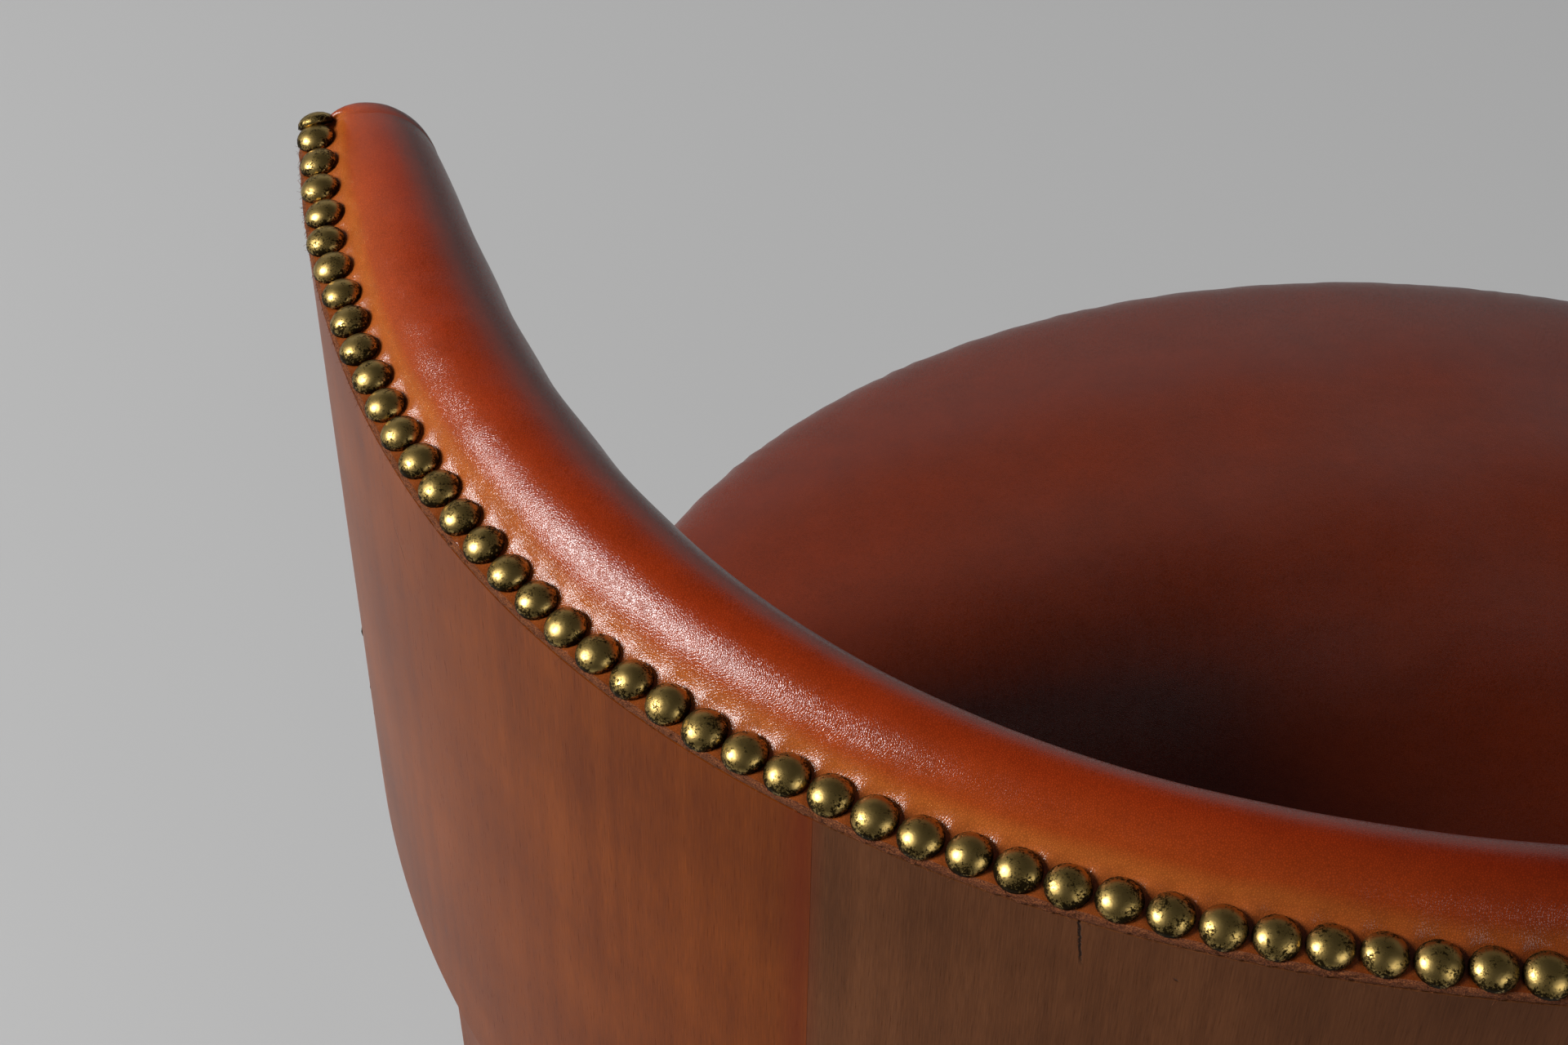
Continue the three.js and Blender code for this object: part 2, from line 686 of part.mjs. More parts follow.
function topNails() {
  const tip = nailTipArc();
  const count = 2 * Math.round(tip / nail.pitch) + 1;
  return joined(Array.from({ length: count }, (_, i) => {
    const arc = THREE.MathUtils.lerp(-tip, tip, i / (count - 1)) || 0;
    const inward = inwardAt(angleAt(nailTable, arc));
    const axis = new THREE.Vector3(-inward.x * Math.sin(bevelAngle), -inward.y * Math.sin(bevelAngle),
      Math.cos(bevelAngle));
    const point = barrelPoint(arc, nail.inset, barrel.rimHeight, nailTable);
    point.z = topEdgeAt(nail.inset);
    const along = new THREE.Vector3(inward.y, -inward.x, 0);
    return nailSolid(point.addScaledVector(axis, leatherTop), axis, along);
  }));
}

// Length along the nail line from the back to the last nail of the top row
function nailTipArc() {
  const tipAngle = angleAt(outerTable, barrel.halfArc);
  const high = nailTable.angles.findIndex((angle) => angle >= tipAngle);
  return nailTable.lengths[high] - nail.tipSetback;
}

// Row down a front edge, whose face leans with the shell's end
function frontNails(side) {
  const place = (height) => barrelPoint(side * halfArcAt(height), nail.inset, height);
  const top = topEdgeAt(nail.inset) - nail.diameter / 2;
  const foot = shellFoot + cover.tuckRise + barrel.cornerRadius;
  const run = place(top).distanceTo(place(foot));
  const count = Math.floor(run / nail.pitch) + 1;
  return joined(Array.from({ length: count }, (_, i) => {
    const height = top - (i * nail.pitch * (top - foot)) / run;
    const angle = angleAt(outerTable, side * halfArcAt(height));
    const inward = inwardAt(angle);
    const down = place(height - nail.pitch).sub(place(height)).normalize();
    const across = new THREE.Vector3(inward.x, inward.y, 0);
    const axis = across.clone().cross(down).multiplyScalar(side).normalize();
    return nailSolid(place(height).addScaledVector(axis, leatherTop), axis, down);
  }));
}

// Feet
function footCentre(frame, outerTop, rake) {
  return new THREE.Vector3(0, outerTop + rake + leg.footDepth / 2, 0).applyMatrix4(frame);
}

function glideGeometry(centre) {
  const radius = glide.diameter / 2;
  const profile = [
    new THREE.Vector2(0, 0), new THREE.Vector2(radius - glide.edge, 0),
    new THREE.Vector2(radius, glide.edge), new THREE.Vector2(radius, glide.height),
    new THREE.Vector2(0, glide.height),
  ];
  const geometry = new THREE.LatheGeometry(profile, glideSides);
  geometry.rotateX(Math.PI / 2);
  geometry.translate(centre.x, centre.y, 0);
  return geometry;
}

// Materials
const wood = { color: 0x6b3f22, roughness: 0.45, metalness: 0 };
const hiddenWood = { color: 0xb89468, roughness: 0.7, metalness: 0 };
const leather = { color: 0x8c3b18, roughness: 0.4, metalness: 0 };
const brass = { color: 0x8a7438, roughness: 0.35, metalness: 1 };
const steel = { color: 0x8d8f92, roughness: 0.4, metalness: 1 };
const stuffing = { color: 0x5b4636, roughness: 0.95, metalness: 0 };
const jute = { color: 0xa88a5c, roughness: 0.9, metalness: 0 };
const cloth = { color: 0x2a2622, roughness: 0.95, metalness: 0 };
const nylon = { color: 0x3a3430, roughness: 0.5, metalness: 0 };

const chair = new THREE.Group();

function addPiece(name, shape, look) {
  const geometry = shape.isBufferGeometry ? shape : toGeometry(shape);
  const mesh = new THREE.Mesh(geometry, new THREE.MeshStandardMaterial(look));
  mesh.name = name;
  chair.add(mesh);
}

function addPieces(name, shapes, look) {
  shapes.forEach((shape, i) => addPiece(`${name}_${i + 1}`, shape, look));
}

const rearLegs = Object.fromEntries(Object.entries(rearArcs).map(([side, arc]) => (
  [side, rearLegSolid(arc)])));
const stayBody = staySolid();
const cornerHoles = cornerScrews(fit.gap);
const shellHoles = shellScrews(fit.gap);
const holdTools = joined([...shellHoles, ...Object.entries(rearArcs).map(([, arc]) => postTool(arc)),
  postTool(0)]);

// Room in the padding for a post or the stay, with clearance all round
function postTool(arc) {
  const frame = barrelFrame(arc);
  const size = arc === 0 ? stay : post;
  const behind = (height) => barrel.thickness + post.slack - flareAt(height) - fit.overrun;
  const levels = [shellFoot - fit.overrun, shellFoot, shellFoot + size.rise + fit.gap].map((height) => ({
    height,
    half: size.width / 2 + fit.gap,
    outer: behind(height),
    inner: behind(height) + fit.overrun + 2 * fit.gap + size.depth,
  }));
  return barSolid(levels, fit.gap, frame);
}

addPiece('back_shell', cut(shellSolid, ...shellHoles), hiddenWood);
addPiece('veneer_left', veneerGeometry(leafJointShare, 1), wood);
addPiece('veneer_back', veneerGeometry(-leafJointShare, leafJointShare), wood);
addPiece('veneer_right', veneerGeometry(-1, -leafJointShare), wood);
addPiece('back_pad', cut(padSolid, holdTools), stuffing);
addPiece('back_cover', cut(coverEnvelope, shellTool, padTool, holdTools), leather);
addPiece('back_nails_top', topNails(), brass);
addPiece('back_nails_front_left', frontNails(1), brass);
addPiece('back_nails_front_right', frontNails(-1), brass);
addPiece('back_stay', cut(stayBody, ...shellHoles), hiddenWood);
addPieces('shell_screw', shellScrews(0), steel);
addPiece('seat_cover', seatCoverGeometry(), leather);
addPiece('seat_stuffing', seatStuffingGeometry(), stuffing);
addPiece('seat_frame', seatFrameGeometry(), hiddenWood);
addPieces('webbing_front_to_back', strapGeometries(false, strapFoot), jute);
addPieces('webbing_side_to_side', strapGeometries(true, crossStrapFoot), jute);

const railNames = ['left', 'back', 'right', 'front'];
railEnds.forEach(([from, to], i) => {
  addPiece(`seat_rail_${railNames[i]}`, cut(railSolid(from, to), ...cornerHoles), wood);
});

Object.entries(rearLegs).forEach(([side, body]) => {
  addPiece(`leg_rear_${side}`, cut(body, ...cornerHoles, ...shellHoles), wood);
  addPiece(`glide_rear_${side}`,
    glideGeometry(footCentre(barrelFrame(rearArcs[side]), leg.rearInset, leg.rearRake)), nylon);
});
Object.entries(frontAngles).forEach(([side, angle]) => {
  addPiece(`leg_front_${side}`, cut(frontLegSolid(angle), ...cornerHoles), wood);
  addPiece(`glide_front_${side}`,
    glideGeometry(footCentre(seatFrameAt(angle, rail.proud), -leg.frontProud, leg.frontRake)), nylon);
});

['front_left', 'front_right', 'rear_left', 'rear_right'].forEach((name, i) => {
  addPiece(`corner_block_${name}`, cut(blockSolid(cornerFrames[i]), ...cornerHoles), hiddenWood);
});
addPieces('corner_screw', cornerScrews(0), steel);

// Dust cloth under the ring, notched round the legs
const clothTop = railFoot - fit.gap;
const clothSolid = toSolid(cappedSkin(
  new THREE.Vector3(0, seat.centreBehind, clothTop),
  [seatRing(-dustCloth.inset, 1, clothTop), seatRing(-dustCloth.inset, 1, clothTop - dustCloth.thickness)],
  new THREE.Vector3(0, seat.centreBehind, clothTop - dustCloth.thickness),
));

// Slab round a leg that keeps the cloth clear of it
function legTool(frame, outer, inner) {
  const levels = [railFoot - leg.width, railFoot + fit.overrun].map((height) => ({
    height, half: leg.width / 2 + fit.seatClearance, outer, inner: inner + fit.seatClearance,
  }));
  return barSolid(levels, fit.gap, frame);
}
addPiece('dust_cloth', cut(clothSolid,
  ...Object.values(rearArcs).map((arc) => legTool(barrelFrame(arc), leg.rearInset, leg.rearShoulder)),
  ...Object.values(frontAngles).map((angle) => (
    legTool(seatFrameAt(angle, rail.proud), -leg.frontProud, leg.frontShoulder - leg.frontProud)))), cloth);

// Stand the chair with its middle over the origin and its glides on the floor
const bounds = new THREE.Box3().setFromObject(chair);
chair.position.set(0, -(bounds.min.y + bounds.max.y) / 2, -bounds.min.z);

export default chair;
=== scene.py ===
import math

import bpy
import numpy as np
from mathutils import Euler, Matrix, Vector


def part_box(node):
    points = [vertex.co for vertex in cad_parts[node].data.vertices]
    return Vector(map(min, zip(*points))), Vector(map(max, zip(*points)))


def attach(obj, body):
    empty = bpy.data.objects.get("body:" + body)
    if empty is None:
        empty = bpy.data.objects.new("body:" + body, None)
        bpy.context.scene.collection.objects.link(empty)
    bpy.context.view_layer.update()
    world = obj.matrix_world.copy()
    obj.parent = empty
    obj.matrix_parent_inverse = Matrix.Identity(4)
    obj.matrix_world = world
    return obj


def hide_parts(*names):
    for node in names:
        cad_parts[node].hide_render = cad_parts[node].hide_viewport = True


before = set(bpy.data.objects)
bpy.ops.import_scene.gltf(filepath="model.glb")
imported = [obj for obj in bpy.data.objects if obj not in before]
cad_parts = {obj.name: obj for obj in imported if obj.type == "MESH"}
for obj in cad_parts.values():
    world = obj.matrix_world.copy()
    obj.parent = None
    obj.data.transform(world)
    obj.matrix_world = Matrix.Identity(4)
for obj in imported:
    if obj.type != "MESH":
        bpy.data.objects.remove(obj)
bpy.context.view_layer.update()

mm = 0.001
print("frame loaded:", len(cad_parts), "nodes")

# Camera: solved from the row of nails in the photograph, so it keeps that lens and height
camera = {
    "place": (212.9 * mm, 539.4 * mm, 1099.1 * mm),
    "pitchDown": 46.02,
    "roll": -0.14,
    "focalPixels": 3335,
    "imageWidth": 1920,
    "sensor": 36.0,
    "clipStart": 10 * mm,
}


# Camera pitched down and rolled a little, looking forwards from behind the chair
def makeCamera(size):
    data = bpy.data.cameras.new("photoCamera")
    data.sensor_width = size["sensor"]
    data.lens = size["focalPixels"] / size["imageWidth"] * size["sensor"]
    data.clip_start = size["clipStart"]
    body = bpy.data.objects.new("photoCamera", data)
    body.location = size["place"]
    tilt = math.radians(90 - size["pitchDown"])
    body.rotation_euler = Euler((tilt, math.radians(size["roll"]), math.pi), "XYZ")
    bpy.context.scene.collection.objects.link(body)
    bpy.context.scene.camera = body


makeCamera(camera)

# Barrel's plan: a rounded square curve x = a sin(t)^(2/n), y = b cos(t)^(2/n), measured by its length.
# Heights are over the floor, and the front edge leans back as it goes down.
barrel = {
    "halfWidth": 341.7 * mm,
    "backReach": 344.5 * mm,
    "squareness": 2.394,
    "rimHeight": 660 * mm,
    "height": 220.4 * mm,
    "flare": 3.2 * mm,
    "halfArc": 482 * mm,
    "frontLean": 40 * mm,
    "cornerRadius": 16 * mm,
    "thickness": 12 * mm,
    "veneer": 0.9 * mm,
    "edgeBevel": 3 * mm,
    "leafJointShare": 4 / 9,
    "uprightShare": 0.6,
    "gap": 0.3 * mm,
    "tablePoints": 20001,
}
shellFoot = barrel["rimHeight"] - barrel["height"]
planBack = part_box("veneer_back")[1].y - barrel["backReach"] - barrel["flare"]
rimSlope = math.atan2(barrel["edgeBevel"], barrel["thickness"])


# Vectors made one unit long
def unit(vectors):
    return vectors / np.maximum(np.linalg.norm(vectors, axis=-1, keepdims=True), 1e-12)


# Power of a value's size, with its sign kept: sign(x) |x|^p
def signedPower(value, power):
    return np.sign(value) * np.abs(value) ** power


# Share, 0 to 1, of the way from start to end, eased in and out as 3 s^2 - 2 s^3
def smoothStep(value, start=0.0, end=1.0):
    share = np.clip((value - start) / (end - start), 0, 1)
    return share * share * (3 - 2 * share)


# Bell curve, 1 at its middle: exp(-((value - middle) / width)^2)
def bell(value, middle, width):
    return np.exp(-((value - middle) / width) ** 2)


# Point of the plan curve at an angle from the back: x = a sin(t)^(2/n), y = b cos(t)^(2/n)
def planPoint(angle):
    power = 2 / barrel["squareness"]
    return np.stack([barrel["halfWidth"] * signedPower(np.sin(angle), power),
                     barrel["backReach"] * signedPower(np.cos(angle), power)], -1)


# Unit vector into the barrel, square to the plan curve
def planInward(angle):
    bend = 2 - 2 / barrel["squareness"]
    return unit(np.stack([-signedPower(np.sin(angle), bend) / barrel["halfWidth"],
                          -signedPower(np.cos(angle), bend) / barrel["backReach"]], -1))


tableAngles = np.linspace(0, math.pi, barrel["tablePoints"])


# Length along the curve that lies at an inset, at each angle of the table
def lengthTable(inset):
    steps = np.diff(planPoint(tableAngles) + inset * planInward(tableAngles), axis=0)
    return np.concatenate([[0], np.cumsum(np.linalg.norm(steps, axis=1))])


outerLengths = lengthTable(0)


# Angle at a length from the back, read from the table of lengths
def angleAt(arc, lengths=outerLengths):
    return np.sign(arc) * np.interp(np.abs(arc), lengths, tableAngles)


# Share of the shell's height that lies above a point: 0 at the rim, 1 at the foot
def fallShare(height):
    return np.clip((barrel["rimHeight"] - height) / barrel["height"], 0, 1)


# Point at a length along the rim, an inset from the outer face and a height
def barrelPoint(arc, inset, height):
    angle = angleAt(arc)
    depth = (inset - barrel["flare"] * fallShare(height))[..., None]
    plan = planPoint(angle) + depth * planInward(angle)
    return np.stack([plan[..., 0], plan[..., 1] + planBack, height], -1)


# Length from the back to the front edge at a height: it leans, and its foot is rounded
def halfArcAt(height):
    drop = np.maximum(0, barrel["cornerRadius"] - (height - shellFoot))
    chord = np.sqrt(np.maximum(0, barrel["cornerRadius"] ** 2 - drop ** 2))
    lean = barrel["frontLean"] * fallShare(height)
    return barrel["halfArc"] - lean - (barrel["cornerRadius"] - chord)


# Length at a share of the way from the back to a tip: upright at first, then leaning with the tip
def arcAt(share, height, grow=0.0):
    upright = barrel["uprightShare"] * barrel["halfArc"]
    half = halfArcAt(np.maximum(height, shellFoot)) + grow
    past = np.maximum(0, (np.abs(share) - barrel["uprightShare"]) / (1 - barrel["uprightShare"]))
    reach = np.where(past > 0, upright + past * (half - upright), np.abs(share) * barrel["halfArc"])
    return np.sign(share) * reach


# Height of the bevelled top: a bevel's depth under the rim outside, rising evenly to it inside
def topEdgeAt(inset):
    return barrel["rimHeight"] - barrel["edgeBevel"] * (1 - inset / barrel["thickness"])


# Colours are written as sRGB hex and turned to linear here
def linear(colour):
    parts = [int(colour[i:i + 2], 16) / 255 for i in (1, 3, 5)]
    return tuple(c / 12.92 if c <= 0.04045 else ((c + 0.055) / 1.055) ** 2.4 for c in parts) + (1,)


# Links a value that comes from a node, and sets any other
def fill(tree, socket, value):
    if isinstance(value, bpy.types.NodeSocket):
        tree.links.new(value, socket)
    else:
        socket.default_value = value


# Adds a shader node with its settings, colour stops and inputs, and gives back its outputs
def node(tree, kind, inputs=(), stops=(), **settings):
    made = tree.nodes.new("ShaderNode" + kind)
    for name, value in settings.items():
        setattr(made, name, value)
    for number, (position, colour) in enumerate(stops):
        band = made.color_ramp.elements
        stop = band[number] if number < len(band) else band.new(1)
        stop.position = position
        stop.color = linear(colour) if isinstance(colour, str) else (colour,) * 3 + (1,)
    for name, value in inputs.items() if isinstance(inputs, dict) else enumerate(inputs):
        fill(tree, made.inputs[name], value)
    return made.outputs


# Material with nodes, and its node tree
def newMaterial(name):
    material = bpy.data.materials.new(name)
    material.use_nodes = True
    return material, material.node_tree


# Connects or sets the shader's own sockets
def finishShader(tree, **values):
    shader = tree.nodes["Principled BSDF"]
    for name, value in values.items():
        fill(tree, shader.inputs[name.replace("_", " ")], value)


# Point in metres turned into cells of a real size
def inCells(tree, point, size):
    scale = [1 / length for length in (size if hasattr(size, "__len__") else (size,) * 3)]
    return node(tree, "Mapping", {"Vector": point, "Scale": scale})[0]


# Random tone round a half, with grains of a real size: one length, or one for each axis
def graining(tree, point, size, detail=2.0, rough=0.5):
    inputs = {"Vector": inCells(tree, point, size), "Scale": 1.0, "Detail": detail, "Roughness": rough}
    return node(tree, "TexNoise", inputs)["Fac"]


# Start value plus each tone times its weight
def weighted(tree, start, *parts):
    for tone, weight in parts:
        start = node(tree, "Math", (tone, weight, start), operation="MULTIPLY_ADD")[0]
    return start


# Colour multiplied by a band of tones for each pattern in turn
def shaded(tree, colour, *parts):
    for pattern, stops in parts:
        tone = node(tree, "ValToRGB", (pattern,), stops)[0]
        colour = node(tree, "Mix", {0: 1.0, 6: colour, 7: tone}, data_type="RGBA", blend_type="MULTIPLY")[2]
    return colour


# Normal under layers of relief, each a pattern of heights and its depth
def relief(tree, *layers):
    under = {}
    for height, depth in layers:
        inputs = {"Height": height, "Distance": depth, "Strength": 1.0, **under}
        under = {"Normal": node(tree, "Bump", inputs)[0]}
    return under["Normal"]


# Aniline cowhide, dyed by hand, burnished and waxed: orange where it is pulled to the nails, red-brown
# on the crest and darker inside, with pebbled pores and a soft wax gloss. On the roll the UV is length
# along the row and distance across the hide, in metres.
leather = {
    "across": 110 * mm,
    "stops": ((0.0, "#8f4418"), (0.09, "#bf632a"), (0.13, "#c36426"), (0.16, "#b74b17"),
              (0.2, "#ad4010"), (0.26, "#a5340a"), (0.34, "#9c300a"), (1.0, "#8c2608")),
    "wander": 8 * mm,
    "wanderSize": 45 * mm,
    # Painted shade: the hide is darker and redder towards the middle of the back, standing in for the key
    # light falling off there; full colour from 150 mm out
    "paintedShade": ((0.12, "#c4b3a8"), (0.3, "#ffffff")),
    "paintedShadeOver": 500 * mm,
    "seat": "#802a08",
    "mottleSize": 16 * mm,
    "mottle": ((0.3, 0.88), (0.7, 1.06)),
    "fineSize": 2.5 * mm,
    "fine": ((0.25, 0.94), (0.75, 1.04)),
    "poreSize": 0.5 * mm,
    "poreDepth": 0.028 * mm,
    "poreSlope": ((0.0, 0.0), (0.3, 1.0)),
    "poreShade": ((0.0, 0.68), (0.24, 1.0)),
    "dentSize": 6 * mm,
    "dentDepth": 0.05 * mm,
    "waxSize": 9 * mm,
    "waxSpread": 0.12,
    "roughness": 0.14,
    "specular": 0.55,
    "seatSpecular": 0.45,
}


def waxedCowhide(name, size, overRoll):
    material, tree = newMaterial(name)
    point = node(tree, "TexCoord")["Object"]
    colour = linear(size["seat"])
    if overRoll:
        along, across = node(tree, "SeparateXYZ", (node(tree, "TexCoord")["UV"],))[:2]
        whole, wander = size["across"], size["wander"]
        share = weighted(tree, -wander / 2 / whole, (across, 1 / whole),
                         (graining(tree, point, size["wanderSize"]), wander / whole))
        # Painted shade, darker towards the middle of the back
        fromMiddle = node(tree, "Math", (weighted(tree, 0.0, (along, 1 / size["paintedShadeOver"])),),
                          operation="ABSOLUTE")[0]
        colour = shaded(tree, node(tree, "ValToRGB", (share,), size["stops"])[0],
                        (fromMiddle, size["paintedShade"]))
    pores = node(tree, "TexVoronoi", {"Vector": inCells(tree, point, size["poreSize"]), "Scale": 1.0},
                 feature="DISTANCE_TO_EDGE")[0]
    colour = shaded(tree, colour, (graining(tree, point, size["mottleSize"], 4, 0.6), size["mottle"]),
                    (graining(tree, point, size["fineSize"], 3, 0.6), size["fine"]),
                    (pores, size["poreShade"]))
    normal = relief(tree, (node(tree, "ValToRGB", (pores,), size["poreSlope"])[0], size["poreDepth"]),
                    (graining(tree, point, size["dentSize"]), size["dentDepth"]))
    rough = weighted(tree, size["roughness"],
                     (graining(tree, point, size["waxSize"], 3), size["waxSpread"]))
    finishShader(tree, Base_Color=colour, Roughness=rough, Normal=normal,
                 Specular_IOR_Level=size["specular" if overRoll else "seatSpecular"])
    return material


# Brass with an antique patina: spun domes, lacquered dark in the hollows and rubbed bright on top. UV
# holds a number for each nail and the share of the way from its crown to its rim.
brass = {
    "bright": "#ccae6c",
    "worn": "#a68a4a",
    "dark": "#2a2110",
    "speckSize": 0.55 * mm,
    "speckDepth": 0.03 * mm,
    "cloudSize": 3.2 * mm,
    "dentSize": 1.6 * mm,
    "dentDepth": 0.05 * mm,
    "rimPower": 5.0,
    "stainStart": -0.35,
    "cloudWeight": 0.7,
    "rimWeight": 0.2,
    "nailWeight": 0.05,
    "stained": ((0.57, 0.0), (0.68, 1.0)),
    "roughness": 0.33,
    "stainRoughness": 0.3,
}


def antiqueBrass(name, size):
    material, tree = newMaterial(name)
    point = node(tree, "TexCoord")["Object"]
    ofNail, toRim = node(tree, "SeparateXYZ", (node(tree, "TexCoord")["UV"],))[:2]
    speck = graining(tree, point, size["speckSize"], 5, 0.75)
    cloud = graining(tree, point, size["cloudSize"], 3, 0.6)
    rim = node(tree, "Math", (toRim, size["rimPower"]), operation="POWER")[0]
    stain = weighted(tree, size["stainStart"], (speck, 1.0), (cloud, size["cloudWeight"]),
                     (rim, size["rimWeight"]), (ofNail, size["nailWeight"]))
    mask = node(tree, "ValToRGB", (stain,), size["stained"])[0]
    metal = node(tree, "Mix", {0: cloud, 6: linear(size["bright"]), 7: linear(size["worn"])},
                 data_type="RGBA")[2]
    colour = node(tree, "Mix", {0: mask, 6: metal, 7: linear(size["dark"])}, data_type="RGBA")[2]
    finishShader(tree, Base_Color=colour, Metallic=1.0,
                 Roughness=weighted(tree, size["roughness"], (mask, size["stainRoughness"])),
                 Normal=relief(tree, (speck, size["speckDepth"]),
                               (graining(tree, point, size["dentSize"], 3), size["dentDepth"])))
    return material


# Walnut veneer, stained and rubbed with oil: upright grain in dark and warm streaks with short pores
# and a satin sheen. UV is length round the barrel and height, in metres.
veneer = {
    "warm": ("#6c300a", "#7d3b0e", "#8e4614"),
    "dark": ("#5c351c", "#6b3f23", "#7a4a2b"),
    "tonesAt": (0.4, 0.5, 0.6),
    "streakSize": (7 * mm, 260 * mm),
    "streakWeight": 0.28,
    "fibreSize": (0.3 * mm, 9 * mm),
    "fibreWeight": 0.38,
    "fibreDepth": 0.01 * mm,
    "cloudSize": 55 * mm,
    "cloudWeight": 0.34,
    "poreSize": (0.22 * mm, 1.8 * mm),
    "poreDepth": 0.012 * mm,
    "poreShade": ((0.28, 0.86), (0.42, 1.0)),
    "roughness": 0.24,
    "fibreRoughness": 0.1,
    "specular": 0.07,
    # Reddish stain that ran into the upright joints: its colour, strength, half width and place past them
    "red": "#6e2208",
    "redShare": 0.55,
    "redReach": 6 * mm,
    "redPast": 2.5 * mm,
    # Each mark: where it starts and ends (length round the barrel, height), its width, all in mm, and
    # how dark it is
    "backMarks": ((156.3, 661.0, 154.3, 642.5, 0.32, 0.92), (135.9, 647.0, 134.4, 645.9, 0.2, 0.8)),
    "leftMarks": ((360.4, 634.6, 353.1, 624.6, 0.25, 0.5),),
    "markColour": "#140a06",
    "markDepth": 0.15 * mm,
    "markWobble": 1.2 * mm,
    "wobbleSize": 1.6 * mm,
    "markFade": 4 * mm,
    "markCore": 1.4,
}


# Share, 0 to 1, that a point lies on a thin straight mark, from its distance to the line and its ends
def onMark(tree, point, mark, size):
    fromX, fromZ, toX, toZ, width = (value * mm for value in mark[:5])
    run = math.hypot(toX - fromX, toZ - fromZ)
    way = ((toX - fromX) / run, (toZ - fromZ) / run, 0)
    offset = node(tree, "VectorMath", (point, (fromX, fromZ, 0)), operation="SUBTRACT")[0]
    along, aside = (node(tree, "VectorMath", (offset, axis), operation="DOT_PRODUCT")["Value"]
                    for axis in (way, (-way[1], way[0], 0)))
    wobble = graining(tree, point, size["wobbleSize"], 3, 0.7)
    off = weighted(tree, -size["markWobble"] / 2, (wobble, size["markWobble"]), (aside, 1.0))
    off = node(tree, "Math", (off,), operation="ABSOLUTE")[0]
    thin = node(tree, "Math", (off, -1 / width, size["markCore"]), operation="MULTIPLY_ADD",
                use_clamp=True)[0]
    fromEnd = node(tree, "Math", (along, weighted(tree, run, (along, -1.0))), operation="MINIMUM")[0]
    ends = node(tree, "Math", (fromEnd, min(size["markFade"], run / 2)), operation="DIVIDE",
                use_clamp=True)[0]
    cut = node(tree, "Math", (thin, ends), operation="MULTIPLY")[0]
    return weighted(tree, 0.0, (cut, mark[5]))


def oiledWalnut(name, size, tones, flat=True, marks=()):
    material, tree = newMaterial(name)
    point = node(tree, "TexCoord")["UV" if flat else "Object"]

    def grain(key, detail, rough):
        wide, long = size[key]
        return graining(tree, point, (wide, long, long) if flat else (wide, wide, long), detail, rough)
    streaks, fibres = grain("streakSize", 4, 0.6), grain("fibreSize", 3, 0.6)
    pores = grain("poreSize", 2, 0.5)
    tone = weighted(tree, 0.0, (streaks, size["streakWeight"]), (fibres, size["fibreWeight"]),
                    (graining(tree, point, size["cloudSize"], 3), size["cloudWeight"]))
    colour = node(tree, "ValToRGB", (tone,), tuple(zip(size["tonesAt"], tones)))[0]
    colour = shaded(tree, colour, (pores, size["poreShade"]))
    layers = [(fibres, size["fibreDepth"]), (pores, size["poreDepth"])]
    if flat:
        joint = barrel["halfArc"] * barrel["leafJointShare"] + size["redPast"]
        fromBack = node(tree, "Math", (node(tree, "SeparateXYZ", (point,))[0],), operation="ABSOLUTE")[0]
        offJoint = node(tree, "Math", (weighted(tree, -joint, (fromBack, 1.0)),), operation="ABSOLUTE")[0]
        stain = node(tree, "Math", (offJoint, -1 / size["redReach"], 1.0), operation="MULTIPLY_ADD",
                     use_clamp=True)[0]
        colour = node(tree, "Mix", {0: weighted(tree, 0.0, (stain, size["redShare"])), 6: colour,
                                    7: linear(size["red"])}, data_type="RGBA")[2]
    for mark in marks:
        cut = onMark(tree, point, mark, size)
        colour = node(tree, "Mix", {0: cut, 6: colour, 7: linear(size["markColour"])},
                      data_type="RGBA")[2]
        layers.append((weighted(tree, 1.0, (cut, -1.0)), size["markDepth"]))
    finishShader(tree, Base_Color=colour, Normal=relief(tree, *layers),
                 Roughness=weighted(tree, size["roughness"], (fibres, size["fibreRoughness"])),
                 Specular_IOR_Level=size["specular"])
    return material


# Finishes of one pattern. The grain is its size, detail and roughness.
plainFinishes = {
    # Cut edge of the hide: raw brown fibres, rough and matt
    "rawHideEdge": {
        "grain": ((0.35 * mm, 0.35 * mm, 0.18 * mm), 4, 0.7),
        "stops": ((0.3, "#2a1006"), (0.48, "#733817"), (0.7, "#b8703c")),
        "shader": {"Roughness": 0.85, "IOR": 1.45},
        "depth": 0.3 * mm,
    },
    # Sawn beech and plywood, unfinished: pale, with faint rings along its length
    "rawBeech": {
        "grain": ((3 * mm, 3 * mm, 60 * mm), 4, 0.6),
        "stops": ((0.3, "#a9845a"), (0.55, "#c3a077"), (0.75, "#d2b48c")),
        "shader": {"Roughness": 0.72},
        "depth": 0.05 * mm,
    },
    # Zinc-plated steel screws: grey, turned, slightly dulled
    "zincSteel": {
        "grain": (1.5 * mm, 3, 0.5),
        "stops": ((0.3, "#8d8f90"), (0.7, "#b4b6b7")),
        "shader": {"Roughness": 0.34, "Metallic": 1.0},
        "reliefSize": 0.6 * mm,
        "depth": 0.02 * mm,
    },
    # Moulded nylon glides: dark, with a fine moulded texture
    "mouldedNylon": {
        "grain": (2 * mm, 3, 0.5),
        "stops": ((0.3, "#2b2725"), (0.7, "#38332f")),
        "shader": {"Roughness": 0.5},
        "reliefSize": 0.7 * mm,
        "depth": 0.03 * mm,
    },
}


def plainFinish(name):
    size = plainFinishes[name]
    material, tree = newMaterial(name)
    point = node(tree, "TexCoord")["Object"]
    grain = graining(tree, point, *size["grain"])
    height = graining(tree, point, size["reliefSize"]) if "reliefSize" in size else grain
    finishShader(tree, Base_Color=node(tree, "ValToRGB", (grain,), size["stops"])[0],
                 Normal=relief(tree, (height, size["depth"])), **size["shader"])
    return material


